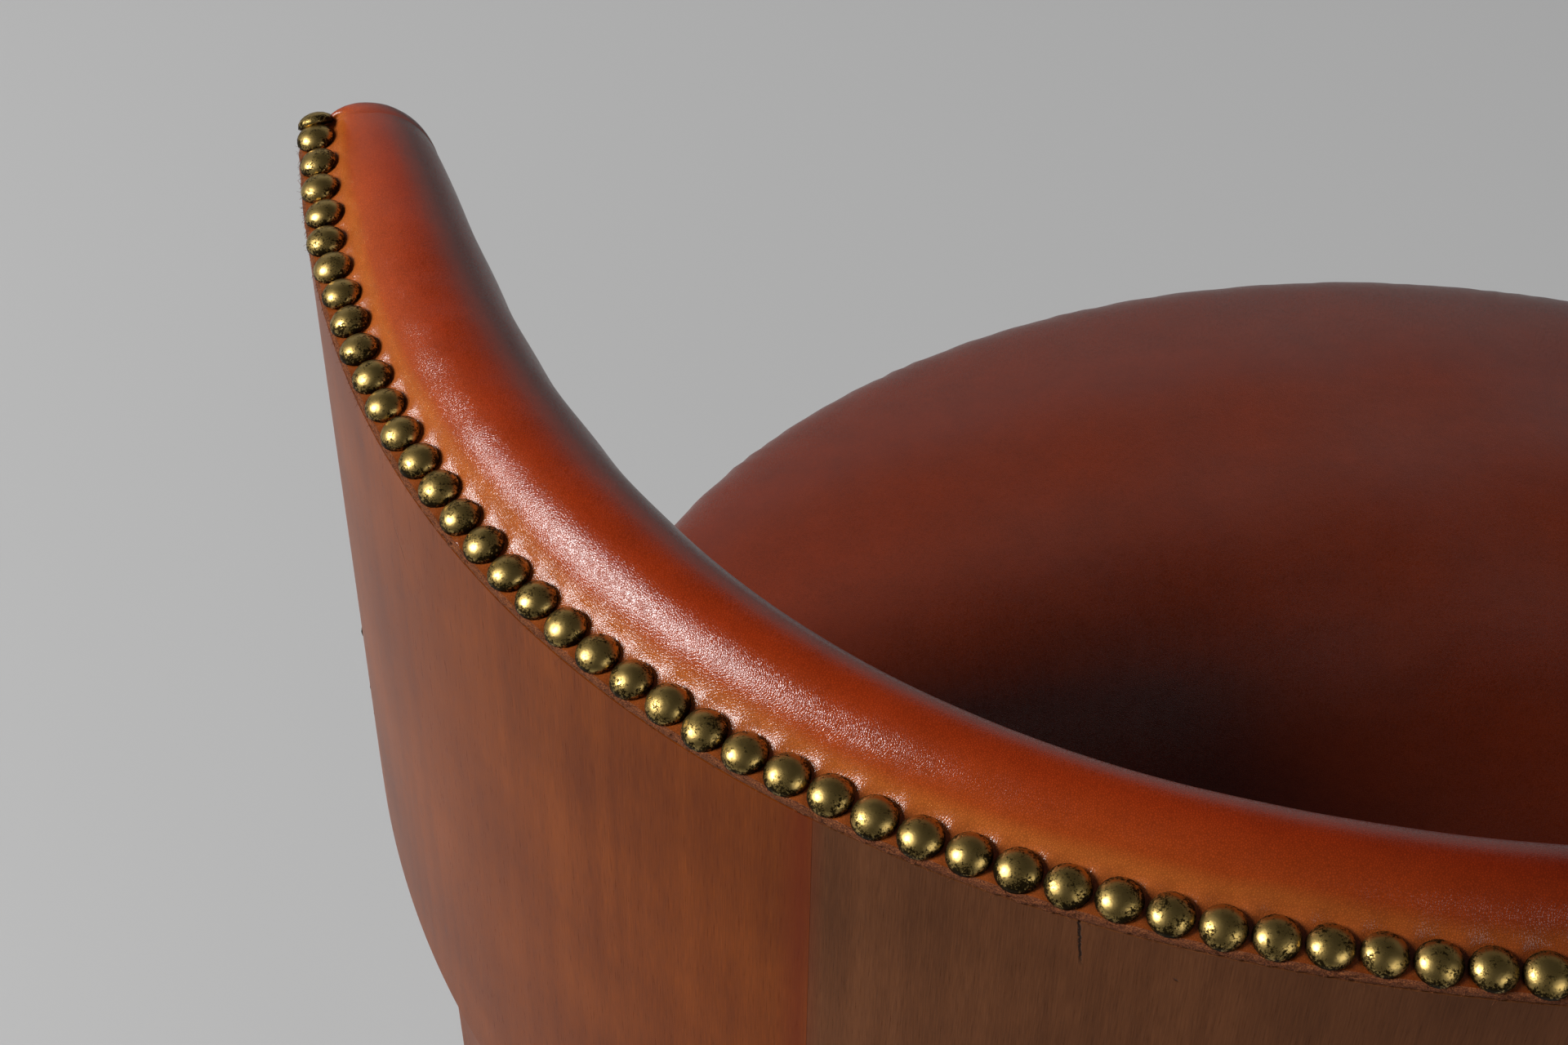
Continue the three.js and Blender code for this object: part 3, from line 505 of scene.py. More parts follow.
# Plain weave: warp and weft from two waves across each other, matt, with a thread of a real size
weave = {"distortion": 1.2, "depth": 0.3 * mm, "cloudSize": 20 * mm, "cloudWeight": 0.4, "roughness": 0.9}


def plainWeave(name, dark, light, thread):
    size = weave
    material, tree = newMaterial(name)
    point = node(tree, "TexCoord")["Object"]
    inputs = {"Vector": inCells(tree, point, thread), "Scale": 0.5, "Distortion": size["distortion"],
              "Detail": 1.0}
    waves = [node(tree, "TexWave", inputs, bands_direction=direction)["Fac"] for direction in ("X", "Y")]
    height = node(tree, "Math", waves, operation="MULTIPLY")[0]
    tone = weighted(tree, height, (graining(tree, point, size["cloudSize"], 3), size["cloudWeight"]))
    finishShader(tree, Base_Color=node(tree, "ValToRGB", (tone,), ((0.1, dark), (0.8, light)))[0],
                 Roughness=size["roughness"], Normal=relief(tree, (height, size["depth"])))
    return material


rollLeather = waxedCowhide("cognacCowhide", leather, True)
seatLeather = waxedCowhide("seatCowhide", leather, False)
edgeLeather = plainFinish("rawHideEdge")
nailBrass = antiqueBrass("antiqueBrass", brass)
warmWalnut = oiledWalnut("warmWalnutVeneer", veneer, veneer["warm"], marks=veneer["leftMarks"])
darkWalnut = oiledWalnut("darkWalnutVeneer", veneer, veneer["dark"], marks=veneer["backMarks"])
solidWalnut = oiledWalnut("solidWalnut", veneer, veneer["warm"], False)
beech, zinc, nylon = (plainFinish(name) for name in ("rawBeech", "zincSteel", "mouldedNylon"))
jute = plainWeave("juteWebbing", "#6d5333", "#b99b6b", 2 * mm)
calico = plainWeave("blackDustCloth", "#16130f", "#3a352f", 1.2 * mm)
print("materials made")


# Four-cornered faces round a tube whose points are numbered ring by ring
def tubeWalls(index):
    around = np.roll(index, -1, 1)
    return np.stack([index[:-1], index[1:], around[1:], around[:-1]], -1).reshape(-1, 4)


# Closes a ring round a middle point: each face takes two sides of the ring
def fan(ring, middle):
    return np.stack([ring[0::2], ring[1::2], np.roll(ring, -2)[0::2], np.full(len(ring) // 2, middle)], -1)


# Faces of one piece numbered on for a row of like pieces
def repeated(faces, count, pointsEach):
    return (faces[None] + np.arange(count)[:, None, None] * pointsEach).reshape(-1, 4)


# Mesh of quads between neighbours on a grid of points (rows x columns). A ring closes its rows on
# themselves, and its ends are closed by strips between its two halves. Poles close the first and the
# last row of a round grid. uv is a matching grid of pairs.
def gridMesh(name, grid, ring=False, closedColumns=False, ends=False, uv=None, slots=None, poles=False):
    rows, columns = grid.shape[:2]
    index = np.arange(rows * columns).reshape(rows, columns)
    below, right = np.roll(index, -1, 0), np.roll(index, -1, 1)
    corners = (index, below, np.roll(below, -1, 1), right)
    rowEnd = rows if ring else rows - 1
    columnEnd = columns if closedColumns else columns - 1
    parts = [np.stack([corner[:rowEnd, :columnEnd] for corner in corners], -1).reshape(-1, 4)]
    if ends:
        near = np.arange(rows // 2 - 1)
        for column in (0, columns - 1):
            strip = np.stack([index[near, column], index[rows - 1 - near, column],
                              index[rows - 2 - near, column], index[near + 1, column]], -1)
            parts.append(strip[:, ::-1] if column else strip)
    points = grid.reshape(-1, 3)
    if poles:
        parts += [fan(index[0], len(points)), fan(index[-1], len(points) + 1)[:, ::-1]]
        points = np.concatenate([points, [grid[0].mean(0), grid[-1].mean(0)]])
    return solidMesh(name, points, np.concatenate(parts), None if uv is None else uv.reshape(-1, 2), slots)


# Object of a smooth mesh of quads, turned to point outwards by the sign of its volume
def solidMesh(name, points, quads, uv=None, slots=None):
    corners = points[quads]
    volume = sum(np.einsum("ij,ij->i", corners[:, 0], np.cross(corners[:, a], corners[:, b])).sum()
                 for a, b in ((1, 2), (2, 3)))
    if volume < 0:
        quads = quads[:, ::-1]
    mesh = bpy.data.meshes.new(name)
    mesh.vertices.add(len(points))
    mesh.vertices.foreach_set("co", points.astype(np.float32).ravel())
    mesh.loops.add(quads.size)
    mesh.loops.foreach_set("vertex_index", quads.astype(np.int32).ravel())
    mesh.polygons.add(len(quads))
    mesh.polygons.foreach_set("loop_start", np.arange(0, quads.size, 4, dtype=np.int32))
    mesh.polygons.foreach_set("use_smooth", np.full(len(quads), True))
    if slots is not None:
        mesh.polygons.foreach_set("material_index", slots.astype(np.int32))
    mesh.update(calc_edges=True)
    if uv is not None:
        layer = mesh.uv_layers.new(name="UVMap")
        layer.data.foreach_set("uv", uv[quads.ravel()].astype(np.float32).ravel())
    mesh.validate()
    piece = bpy.data.objects.new(name, mesh)
    bpy.context.scene.collection.objects.link(piece)
    return piece


# Gives a piece its finishes, its body and the nodes that it stands for
def fitOut(piece, materials, slot, *nodes):
    for material in materials:
        piece.data.materials.append(material)
    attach(piece, "root")
    if nodes:
        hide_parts(*nodes)
    return piece


# Grid's unit normals, from the slopes along its rows and columns, turned up at a row near the top
def gridNormals(grid, topRow, column, closedColumns=False):
    if closedColumns:
        along = (np.roll(grid, -1, 1) - np.roll(grid, 1, 1)) / 2
    else:
        along = np.gradient(grid, axis=1)
    normals = unit(np.cross(along, np.gradient(grid, axis=0)))
    return -normals if normals[topRow, column, 2] < 0 else normals


# Smooth random waves along a line: sums of sines with seeded phases and wavelengths
def ripple(position, height, shortest, longest, count, seed):
    draw = np.random.default_rng(seed)
    lengths = np.exp(draw.uniform(math.log(shortest), math.log(longest), count))
    phases = draw.uniform(0, 2 * math.pi, count)
    total = sum(np.sin(2 * math.pi * position / length + phase) for length, phase in zip(lengths, phases))
    return height * total / math.sqrt(count)


# Plan vectors as level ones in space
def level(plan):
    return np.concatenate([plan, 0 * plan[..., :1]], -1)


upward = np.array([0, 0, 1.0])

# Nails: where their centres lie along the rim and down the front edges. The dome's shares are of its
# rise, and the rings' are of its radius.
nail = {
    "diameter": 10 * mm,
    "rise": 3.6 * mm,
    "inset": 5.3 * mm,
    "frontInset": 4.8 * mm,
    "sunk": 0.25 * mm,
    "pitch": 10.44 * mm,
    "tipSetback": 3.9 * mm,
    "middleNail": 1.7 * mm,
    "cornerTilt": 45,
    "cornerReach": 6 * mm,
    "cornerDrop": 7.8 * mm,
    "wander": 0.25 * mm,
    "tilt": 2.5,
    "sizeSpread": 0.012,
    "sides": 20,
    "ringShares": (1.0, 0.94, 0.78, 0.55, 0.28),
    "domeShare": 0.92,
    "lipShare": 0.02,
    "footShare": -0.08,
    "footRadiusShare": 0.9,
    "seed": 5,
    "frontSeed": 8,
}
nailLengths = lengthTable(nail["inset"])
nailTip = float(np.interp(angleAt(barrel["halfArc"]), tableAngles, nailLengths)) - nail["tipSetback"]
halfCount = round(nailTip / nail["pitch"])
nailArcs = np.interp(np.arange(2 * halfCount + 1), [0, halfCount, 2 * halfCount],
                     [-nailTip, nail["middleNail"], nailTip])

# Padded roll and its leather. The section starts at the hide's cut edge on the outer corner of the rim,
# lies flat under the nails, bulges up to the crest on an arc of a circle, rounds over in a quarter
# ellipse, goes down the inside and tucks under. A rear line behind it runs back up along the shell.
roll = {
    "leather": 2 * mm,
    "startInset": 10.8 * mm,
    "startSlope": 68,
    "flatEnd": 1 * mm,
    "backRadius": 14 * mm,
    "armRadius": 17.5 * mm,
    "tipRadius": 9.6 * mm,
    "radiusReach": 26 * mm,
    "radiusBlend": (0 * mm, 332 * mm),
    "innerDrop": 16 * mm,
    "backDepth": 38.4 * mm,
    "armDepth": 47.2 * mm,
    "tipDepth": 36.6 * mm,
    "depthReach": 46 * mm,
    "depthBlend": (152 * mm, 362 * mm),
    "waistCut": 8 * mm,
    "tipBulge": 2.4 * mm,
    "bulgeReach": 20 * mm,
    "tuckRadius": 9 * mm,
    "tuckRise": 8 * mm,
    "tuckReach": 6 * mm,
    "edgeInset": 0.1 * mm,
    "edgeRound": 0.7 * mm,
    "edgeTurn": 0.2 * mm,
    "backing": 0.05 * mm,
    "flatRound": 1.6 * mm,
    "endRound": 9 * mm,
    "endRoundShare": 0.45,
    "endSteps": 7,
    "stations": 938,
    "crowding": 1.12,
    "reachShare": 0.9995,
    # Rows of the section: up the cut edge, round its corner, over the flat, up the bulge, over the
    # crest, down the inside and round the tuck
    "sectionRows": (3, 3, 11, 17, 26, 16, 6),
    "bulgeStart": 0.04,
    "seamRow": 12,
    "easedTo": 40,
    "easings": 3,
    "crestRow": 40,
    "roundRows": (18, 34),
    "bulgeRows": (20, 34),
}
hideEdgeRows = 1 + sum(roll["sectionRows"][:2])


# The section's front line as insets and heights, one column for each station
def rollSection(share):
    size = roll
    fromBack = np.abs(share) * barrel["halfArc"]
    fromTip = barrel["halfArc"] - fromBack

    def along(back, arm, tip, blend, reach):
        full = size[back] + (size[arm] - size[back]) * smoothStep(fromBack, *size[blend])
        return full - (size[arm] - size[tip]) * np.exp(-fromTip / size[reach])
    depth = along("backDepth", "armDepth", "tipDepth", "depthBlend", "depthReach")
    radius = along("backRadius", "armRadius", "tipRadius", "radiusBlend", "radiusReach")
    up, curl, flat, bulge, over, inside, tuck = (
        np.linspace(0, 1, count + extra)[extra:, None]
        for count, extra in zip(size["sectionRows"], (0, 1, 0, 0, 1, 1, 1)))
    edge, corner, lift = size["edgeInset"], size["edgeRound"], barrel["gap"] + size["leather"]
    low = topEdgeAt(edge) + barrel["gap"]
    climb = size["leather"] - size["edgeTurn"] - corner
    insetFlat = edge + 2 * corner + flat * (size["startInset"] - size["flatEnd"] - edge - 2 * corner)
    slope = math.radians(size["startSlope"])
    steep = slope * (1 - size["bulgeStart"]) * (1 - bulge)
    crestInset = size["startInset"] + radius * math.sin(slope)
    crest = topEdgeAt(size["startInset"]) + lift + radius * (1 - math.cos(slope))
    turn = barrel["rimHeight"] - size["innerDrop"]
    foot = shellFoot + size["tuckRise"]
    waist = depth - size["waistCut"]
    quarter = math.pi / 2
    parts = (
        (edge + size["edgeTurn"], np.full((1, 1), low)),
        (edge, low + size["edgeTurn"] + up * climb),
        (edge + corner * (1 - np.cos(curl * quarter)),
         topEdgeAt(edge) + lift - corner * (1 - np.sin(curl * quarter))),
        (insetFlat, topEdgeAt(insetFlat) + lift),
        (crestInset - radius * np.sin(steep), crest - radius * (1 - np.cos(steep))),
        (crestInset + (depth - crestInset) * np.sin(over * quarter),
         turn + (crest - turn) * np.cos(over * quarter)),
        (depth + (waist - depth) * smoothStep(inside), turn + (foot + size["tuckRadius"] - turn) * inside),
        (waist - size["tuckRadius"] * (1 - np.cos(tuck * quarter)),
         foot + size["tuckRadius"] * (1 - np.sin(tuck * quarter))),
        (waist - size["tuckRadius"] - size["tuckReach"], np.full((1, 1), foot)),
    )
    insets = np.concatenate([inset + 0 * height + 0 * share for inset, height in parts])
    heights = np.concatenate([height + 0 * inset + 0 * share for inset, height in parts])
    return insets, heights


# Rounds the valley where the flat hide meets the bulge: each row drawn to its neighbours, a few times
def eased(values):
    first, last = hideEdgeRows, roll["easedTo"]
    for _ in range(roll["easings"]):
        middle = (values[first - 1:last - 1] + 2 * values[first:last] + values[first + 1:last + 1]) / 4
        values = np.concatenate([values[:first], middle, values[last:]])
    return values


# How the hide lies on its padding. A place is a middle and a width, and waves are their height, shortest
# and longest length, count of sines and seed.
hide = {
    "dent": -0.5 * mm,
    "dentRim": (1.6 * mm, -0.4 * mm),
    "uneven": (0.5, 14 * mm, 60 * mm, 9, 10),
    "puff": 0.06 * mm,
    "puffPlace": (5.6 * mm, 2.4 * mm),
    "pull": -0.05 * mm,
    "pullPlace": (8 * mm, 3.5 * mm),
    "crestPlace": (25 * mm, 13 * mm),
    "longWaves": (0.16 * mm, 34 * mm, 110 * mm, 9, 11),
    "shortWaves": (0.03 * mm, 12 * mm, 30 * mm, 9, 12),
    "shortSlant": 0.6,
    "sagFrom": (45 * mm, 65 * mm),
    "sags": (0.5 * mm, 40 * mm, 160 * mm, 9, 13),
    "sagSlant": 0.3,
    "fray": (0.22 * mm, 1.6 * mm, 9 * mm, 14, 14),
    "fraySlant": 3,
    "calmRows": (9, 6),
}


# How far the hide stands off along its normals: dents under the nails, swellings between them, hollows
# pulled beyond them, waves on the crest, sags inside and a frayed cut edge
def hideRelief(row, lengths, seamArc):
    size = hide
    nearest = np.abs(seamArc[:, None] - nailArcs).min(1)
    beyond = lengths - roll["leather"] - nail["inset"]
    rim = [nail["diameter"] / 2 + past for past in size["dentRim"]]
    between = smoothStep(nearest, 0, nail["pitch"] / 2)
    uneven = 1 + ripple(seamArc, *size["uneven"])
    total = (size["dent"] * smoothStep(np.hypot(nearest, beyond), *rim)
             + size["puff"] * uneven * between * bell(beyond, *size["puffPlace"])
             + size["pull"] * uneven * (1 - between) * bell(beyond, *size["pullPlace"])
             + bell(lengths, *size["crestPlace"]) * (
                 ripple(seamArc, *size["longWaves"])
                 + ripple(seamArc + size["shortSlant"] * lengths, *size["shortWaves"]))
             + smoothStep(lengths, *size["sagFrom"]) * ripple(
                 seamArc + size["sagSlant"] * lengths, *size["sags"]))
    calm = smoothStep(row, 0, size["calmRows"][0]) * smoothStep(row[-1] - row, 0, size["calmRows"][1])
    fray = ripple(seamArc + size["fraySlant"] * lengths, *size["fray"])
    return total * calm + np.where(row < hideEdgeRows - 1, fray, 0)


# Front edge: every row turns in by its rounding while it goes the last stretch forwards. Gives back the
# front and the rear line's columns, from the body outwards.
def frontTurn(side, last, section, rounding, swell):
    size = roll
    angles = np.linspace(0, math.pi / 2, size["endSteps"])
    inset, height, rearInset, rearHeight = section
    rearInset = np.minimum(rearInset, size["edgeInset"] + size["backing"])
    rearHeight = np.minimum(rearHeight, topEdgeAt(size["edgeInset"]) + barrel["gap"])
    toRear = np.stack([rearInset - inset, rearHeight - height], -1)
    span = np.linalg.norm(toRear, axis=-1)
    move = np.minimum(rounding, size["endRoundShare"] * span) * (1 - np.cos(angles))
    grow = barrel["gap"] + size["leather"] + swell - rounding * (1 - np.sin(angles))
    way = unit(toRear)
    heightNow = height + way[..., 1] * move
    front = barrelPoint(side * (halfArcAt(np.maximum(heightNow, shellFoot)) + grow),
                        inset + way[..., 0] * move, heightNow)
    rearGrow = barrel["gap"] + size["leather"] * np.sin(angles)
    rear = barrelPoint(side * (halfArcAt(np.maximum(rearHeight, shellFoot)) + rearGrow),
                       rearInset + 0 * angles, rearHeight + 0 * angles)
    return front + last - front[:, :1], rear


# The hide as one ring of rows round the section: its front line moved out by its relief, its rear line
# behind, and both carried round the two front edges
def makeCover():
    size = roll
    share = np.linspace(-1, 1, size["stations"])
    share = np.sign(share) * (1 - (1 - np.abs(share)) ** size["crowding"]) * size["reachShare"]
    insets, heights = (eased(part) for part in rollSection(share))
    row = np.arange(len(insets))[:, None]

    # The front edges are rounded off little on the hide's flat and more on the pad, which swells forwards
    rounding = size["flatRound"] + (size["endRound"] - size["flatRound"]) * smoothStep(
        row, *size["roundRows"])
    swell = size["tipBulge"] * smoothStep(row, *size["bulgeRows"])
    nearTip = bell((1 - np.abs(share)) * barrel["halfArc"], 0, size["bulgeReach"])
    arcs = arcAt(share, heights, barrel["gap"] + size["leather"] - rounding)
    body = barrelPoint(arcs + np.sign(share) * swell * nearTip, insets, heights)
    lengths = np.cumsum(np.hypot(np.diff(insets, axis=0), np.diff(heights, axis=0)), 0)
    lengths = np.concatenate([0 * lengths[:1], lengths])
    seamArc = np.cumsum(np.linalg.norm(np.diff(body[size["seamRow"]], axis=0), axis=1))
    seamArc = np.concatenate([[0], seamArc]) - seamArc[-1] / 2
    normals = gridNormals(body, size["crestRow"], len(share) // 2)
    body = body + normals * hideRelief(row, lengths, seamArc)[..., None]

    # Rear line: up the shell's inner face, and over the rim to the cut edge
    behind = barrel["thickness"] + barrel["gap"]
    rearHeights = np.minimum(heights, topEdgeAt(np.minimum(insets, behind)) + barrel["gap"])
    rearInsets = np.minimum(insets + size["backing"], behind)
    rear = barrelPoint(arcAt(share, rearHeights, barrel["gap"]), rearInsets, rearHeights)

    columns = (insets, heights, rearInsets, rearHeights)
    leftFront, leftRear = frontTurn(-1, body[:, :1], [part[:, :1] for part in columns], rounding, swell)
    rightFront, rightRear = frontTurn(1, body[:, -1:], [part[:, -1:] for part in columns], rounding, swell)
    front = np.concatenate([leftFront[:, ::-1], body, rightFront], 1)
    rear = np.concatenate([leftRear[:, ::-1], rear, rightRear], 1)
    grid = np.concatenate([front, rear[::-1]])
    v = np.pad(lengths, ((0, 0), (size["endSteps"], size["endSteps"])), "edge")
    v = np.concatenate([v, v[::-1]])
    uv = np.stack([np.broadcast_to(np.pad(seamArc, size["endSteps"], "edge"), v.shape), v], -1)
    ringRow = np.arange(len(grid))
    isEdge = (ringRow < hideEdgeRows - 1) | (ringRow >= len(grid) - hideEdgeRows)
    slots = np.concatenate([np.repeat(isEdge, grid.shape[1] - 1), np.zeros(len(grid) - 2, bool)])
    cover = gridMesh("backCover", grid, ring=True, ends=True, uv=uv, slots=slots)
    fitOut(cover, (rollLeather, edgeLeather), "leather", "back_cover", "back_pad")


makeCover()
print("padded roll made")

# Loose fibres that stand out of the hide's cut edge: thin bent strands, four points round, four rings.
# Spreads are the mean and the deviation of a random part of their direction or bend.
fibre = {
    "count": 2400,
    "shortest": 0.35 * mm,
    "longest": 1.9 * mm,
    "lengthForm": (1.2, 3),
    "radius": 0.065 * mm,
    "taper": 0.6,
    "points": 4,
    "root": 0.15 * mm,
    "margin": 0.2 * mm,
    "tipMargin": 2 * mm,
    "sideSpread": (0, 0.8),
    "upSpread": (-0.1, 0.7),
    "sideBend": (0, 0.8),
    "upBend": (-0.4, 0.6),
    "bendShare": 0.5,
    "seed": 31,
}


# Each strand runs as start + way s + bend s^2, with four rings round it that narrow with s
def makeFibres():
    size = fibre
    draw = np.random.default_rng(size["seed"])
    count = size["count"]
    arc = draw.uniform(-1, 1, count) * (barrel["halfArc"] - size["tipMargin"])
    height = draw.uniform(size["margin"], roll["leather"] - size["margin"], count)
    height = height + topEdgeAt(0) + barrel["gap"]
    start = barrelPoint(arc, np.full(count, roll["edgeInset"] + size["root"]), height)
    into = planInward(angleAt(arc))
    side = level(np.stack([into[:, 1], -into[:, 0]], -1))
    way = -level(into) + side * draw.normal(*size["sideSpread"], (count, 1))
    way = unit(way + upward * draw.normal(*size["upSpread"], (count, 1)))
    bend = side * draw.normal(*size["sideBend"], (count, 1))
    bend = bend + upward * draw.normal(*size["upBend"], (count, 1))
    length = draw.beta(*size["lengthForm"], (count, 1))
    length = size["shortest"] + (size["longest"] - size["shortest"]) * length
    steps = np.linspace(0, 1, size["points"])[:, None, None]
    spine = start + way * length * steps + bend * length * size["bendShare"] * steps ** 2
    one = unit(np.cross(way, upward))
    two = np.cross(way, one)
    turn = (np.arange(size["points"]) * 2 * math.pi / size["points"])[None, :, None, None]
    thick = size["radius"] * (1 - size["taper"] * steps[..., None])
    rings = spine[:, None] + thick * (np.cos(turn) * one + np.sin(turn) * two)
    index = np.arange(size["points"] ** 2).reshape(-1, size["points"])
    faces = np.concatenate([tubeWalls(index), index[:1], index[-1:, ::-1]])
    quads = repeated(faces, count, index.size)
    points = rings.transpose(2, 0, 1, 3).reshape(-1, 3)
    fitOut(solidMesh("hideFibres", points, quads), (edgeLeather,), "leather")


makeFibres()
print("loose fibres made")


# One mesh of domes: each is a low elliptical cap, z = h sqrt(1 - r^2), closed by a flat bottom
def makeNails(name, centres, axes, alongs, seed, cadNode):
    size = nail
    draw = np.random.default_rng(seed)
    count = len(centres)
    tilt = np.tan(np.radians(draw.normal(0, size["tilt"], (count, 2))))
    axes = unit(axes + alongs * tilt[:, :1] + np.cross(axes, alongs) * tilt[:, 1:])
    alongs = unit(alongs - axes * np.einsum("ij,ij->i", alongs, axes)[:, None])
    sideways = np.cross(axes, alongs)
    centres = centres + sideways * draw.normal(0, size["wander"], (count, 1))
    grow = draw.normal(1, size["sizeSpread"], (count, 1, 1, 1))
    turn = np.linspace(0, 2 * math.pi, size["sides"], endpoint=False)
    shares = np.array(size["ringShares"])
    radii = np.concatenate([[size["footRadiusShare"]], shares]) * size["diameter"] / 2
    dome = np.sqrt(1 - shares ** 2) * size["domeShare"] + size["lipShare"]
    heights = size["rise"] * np.concatenate([[size["footShare"]], dome])
    alongCircle = (radii[:, None] * np.cos(turn))[None, ..., None] * alongs[:, None, None]
    sideCircle = (radii[:, None] * np.sin(turn))[None, ..., None] * sideways[:, None, None]
    raised = heights[None, :, None, None] * axes[:, None, None]
    rings = centres[:, None, None] + grow * (alongCircle + sideCircle + raised)
    crown = centres + axes * size["rise"] * (size["domeShare"] + size["lipShare"])
    foot = centres + axes * size["rise"] * size["footShare"]
    points = np.concatenate([rings.reshape(count, -1, 3), crown[:, None], foot[:, None]], 1)
    index = np.arange(len(radii) * size["sides"]).reshape(-1, size["sides"])
    faces = np.concatenate([tubeWalls(index), fan(index[-1], index.size)[:, ::-1],
                            fan(index[0], index.size + 1)])
    radial = np.concatenate([np.repeat(np.concatenate([[1.0], shares]), size["sides"]), [0.0, 1.0]])
    perNail = points.shape[1]
    uv = np.stack([np.repeat(draw.uniform(0, 1, count), perNail), np.tile(radial, count)], -1)
    piece = solidMesh(name, points.reshape(-1, 3), repeated(faces, count, perNail), uv)
    fitOut(piece, (nailBrass,), "brass", cadNode)


nailLift = roll["leather"] + barrel["gap"] - nail["sunk"]


# Points of the rim under nail centres, and the way into the barrel there
def rimSpot(arc):
    angle = angleAt(arc, nailLengths)
    into = planInward(angle)
    spot = level(planPoint(angle) + into * nail["inset"])
    return spot + (0, planBack, topEdgeAt(nail["inset"])), into


# Row along the rim, each nail square to the bevelled top
def topNails():
    centres, into = rimSpot(nailArcs)
    axes = upward * math.cos(rimSlope) - level(into) * math.sin(rimSlope)
    alongs = level(np.stack([into[:, 1], -into[:, 0]], -1))
    makeNails("backNailsTop", centres + axes * nailLift, axes, alongs, nail["seed"], "back_nails_top")


# Front edge: a row going down the edge, under one nail tipped over the corner
def frontNails(side, name, cadNode):
    top = topEdgeAt(nail["inset"]) - nail["cornerDrop"]
    foot = shellFoot + roll["tuckRise"] + barrel["cornerRadius"]

    def spot(height):
        return barrelPoint(side * halfArcAt(height), nail["frontInset"] + 0 * height, height)
    run = np.linalg.norm(np.diff(spot(np.array([top, foot])), axis=0))
    height = top - np.arange(int(run / nail["pitch"]) + 1) * nail["pitch"] * (top - foot) / run
    across = level(planInward(angleAt(side * halfArcAt(height))))
    down = unit(spot(height - nail["pitch"]) - spot(height))
    axes = unit(side * np.cross(across, down))
    tilt = math.radians(nail["cornerTilt"])
    outward = unit(axes[0] * (1, 1, 0))
    rimUp = upward * math.cos(rimSlope) - across[0] * math.sin(rimSlope)
    corner = rimSpot(side * nailTip)[0] + rimUp * nailLift + outward * nail["cornerReach"]
    centres = np.concatenate([[corner], spot(height) + axes * nailLift])
    axes = np.concatenate([[rimUp * math.cos(tilt) + outward * math.sin(tilt)], axes])
    makeNails(name, centres, axes, np.concatenate([down[:1], down]), nail["frontSeed"] + side, cadNode)


topNails()
frontNails(1, "backNailsFrontLeft", "back_nails_front_left")
frontNails(-1, "backNailsFrontRight", "back_nails_front_right")
print("nails made")

# Curved boards of the barrel: a plywood core and three leaves of veneer
board = {
    "footSteps": 12,
    "wallSteps": 25,
    "topMargin": 0.3 * mm,
    "sideColumns": 150,
    "backColumns": 220,
    "coreColumns": 300,
    "sharpAngle": 35,
    "jointGap": 0.03 * mm,
    "coreGap": 0.05 * mm,
}


# Board between two insets and two shares of the way round: levels up the outer side, over the bevelled
# top and down the inner side
def shellBoard(name, fromShare, toShare, outer, inner, columns, material, slot, cadNode):
    share = np.linspace(fromShare, toShare, columns)
    quarter = np.linspace(0, math.pi / 2, board["footSteps"])
    corner = shellFoot + barrel["cornerRadius"] * (1 - np.cos(quarter))
    wall = np.linspace(corner[-1], topEdgeAt(outer) - board["topMargin"], board["wallSteps"] + 1)[1:]

    def side(inset):
        heights = np.concatenate([corner, wall, [topEdgeAt(inset)]])[:, None] + 0 * share
        return barrelPoint(arcAt(share, heights), inset + 0 * heights, heights)
    grid = np.concatenate([side(outer), side(inner)[::-1]])
    uv = np.stack([arcAt(share, grid[..., 2]), grid[..., 2]], -1)
    piece = gridMesh(name, grid, ring=True, ends=True, uv=uv)
    piece.data.set_sharp_from_angle(angle=math.radians(board["sharpAngle"]))
    fitOut(piece, (material,), slot, cadNode)


# Three leaves, a joint's gap apart, and the core just inside them
def makeShell():
    gap = board["jointGap"] / barrel["halfArc"]
    joint, leaf = barrel["leafJointShare"], barrel["veneer"]
    sides, back = board["sideColumns"], board["backColumns"]
    shellBoard("veneerLeft", joint + gap, 1, 0, leaf, sides, warmWalnut, "wood", "veneer_left")
    shellBoard("veneerBack", -joint + gap, joint - gap, 0, leaf, back, darkWalnut, "wood", "veneer_back")
    shellBoard("veneerRight", -1, -joint - gap, 0, leaf, sides, warmWalnut, "wood", "veneer_right")
    shellBoard("shellCore", -1, 1, leaf + board["coreGap"], barrel["thickness"], board["coreColumns"], beech,
               "hidden_wood", "back_shell")


makeShell()
print("shell made")

# Seat: a dome over an oval plan, squarer behind than in front. Height falls as 1 - (1 - r^p)^(1/p), the
# side draws in a little, and the foot is turned under.
seat = {
    "halfWidth": 280 * mm,
    "frontDepth": 223.6 * mm,
    "backDepth": 223.4 * mm,
    "centreBehind": 79.4 * mm,
    "frontSquareness": 1.97,
    "backSquareness": 2.4,
    "crownHeight": 462 * mm,
    "domeRise": 52.2 * mm,
    "domeExponent": 2.18,
    "sideDrop": 25 * mm,
    "drawIn": 3 * mm,
    "footRound": 3 * mm,
    "underInset": 20 * mm,
    "middleInset": 4 * mm,
    "middleScale": 0.02,
    "firstRing": 0.004,
    "sides": 360,
    "rings": 90,
    "sideRings": 13,
    "footRings": 5,
    "topRing": 10,
    # Pulls round the rim, and soft swellings of the dome: their rows, and their waves as in the hide
    "pullRows": (60, 90),
    "pullEndRows": 6,
    "pulls": (0.35 * mm, 9 * mm, 40 * mm, 12, 21),
    "softRows": (86, 46),
    "softAcross": (0.35 * mm, 60 * mm, 200 * mm, 8, 22),
    "softAlong": (0.35 * mm, 70 * mm, 210 * mm, 8, 23),
    "softSlants": (0.4, -0.3),
}
domeFoot = seat["crownHeight"] - seat["domeRise"]
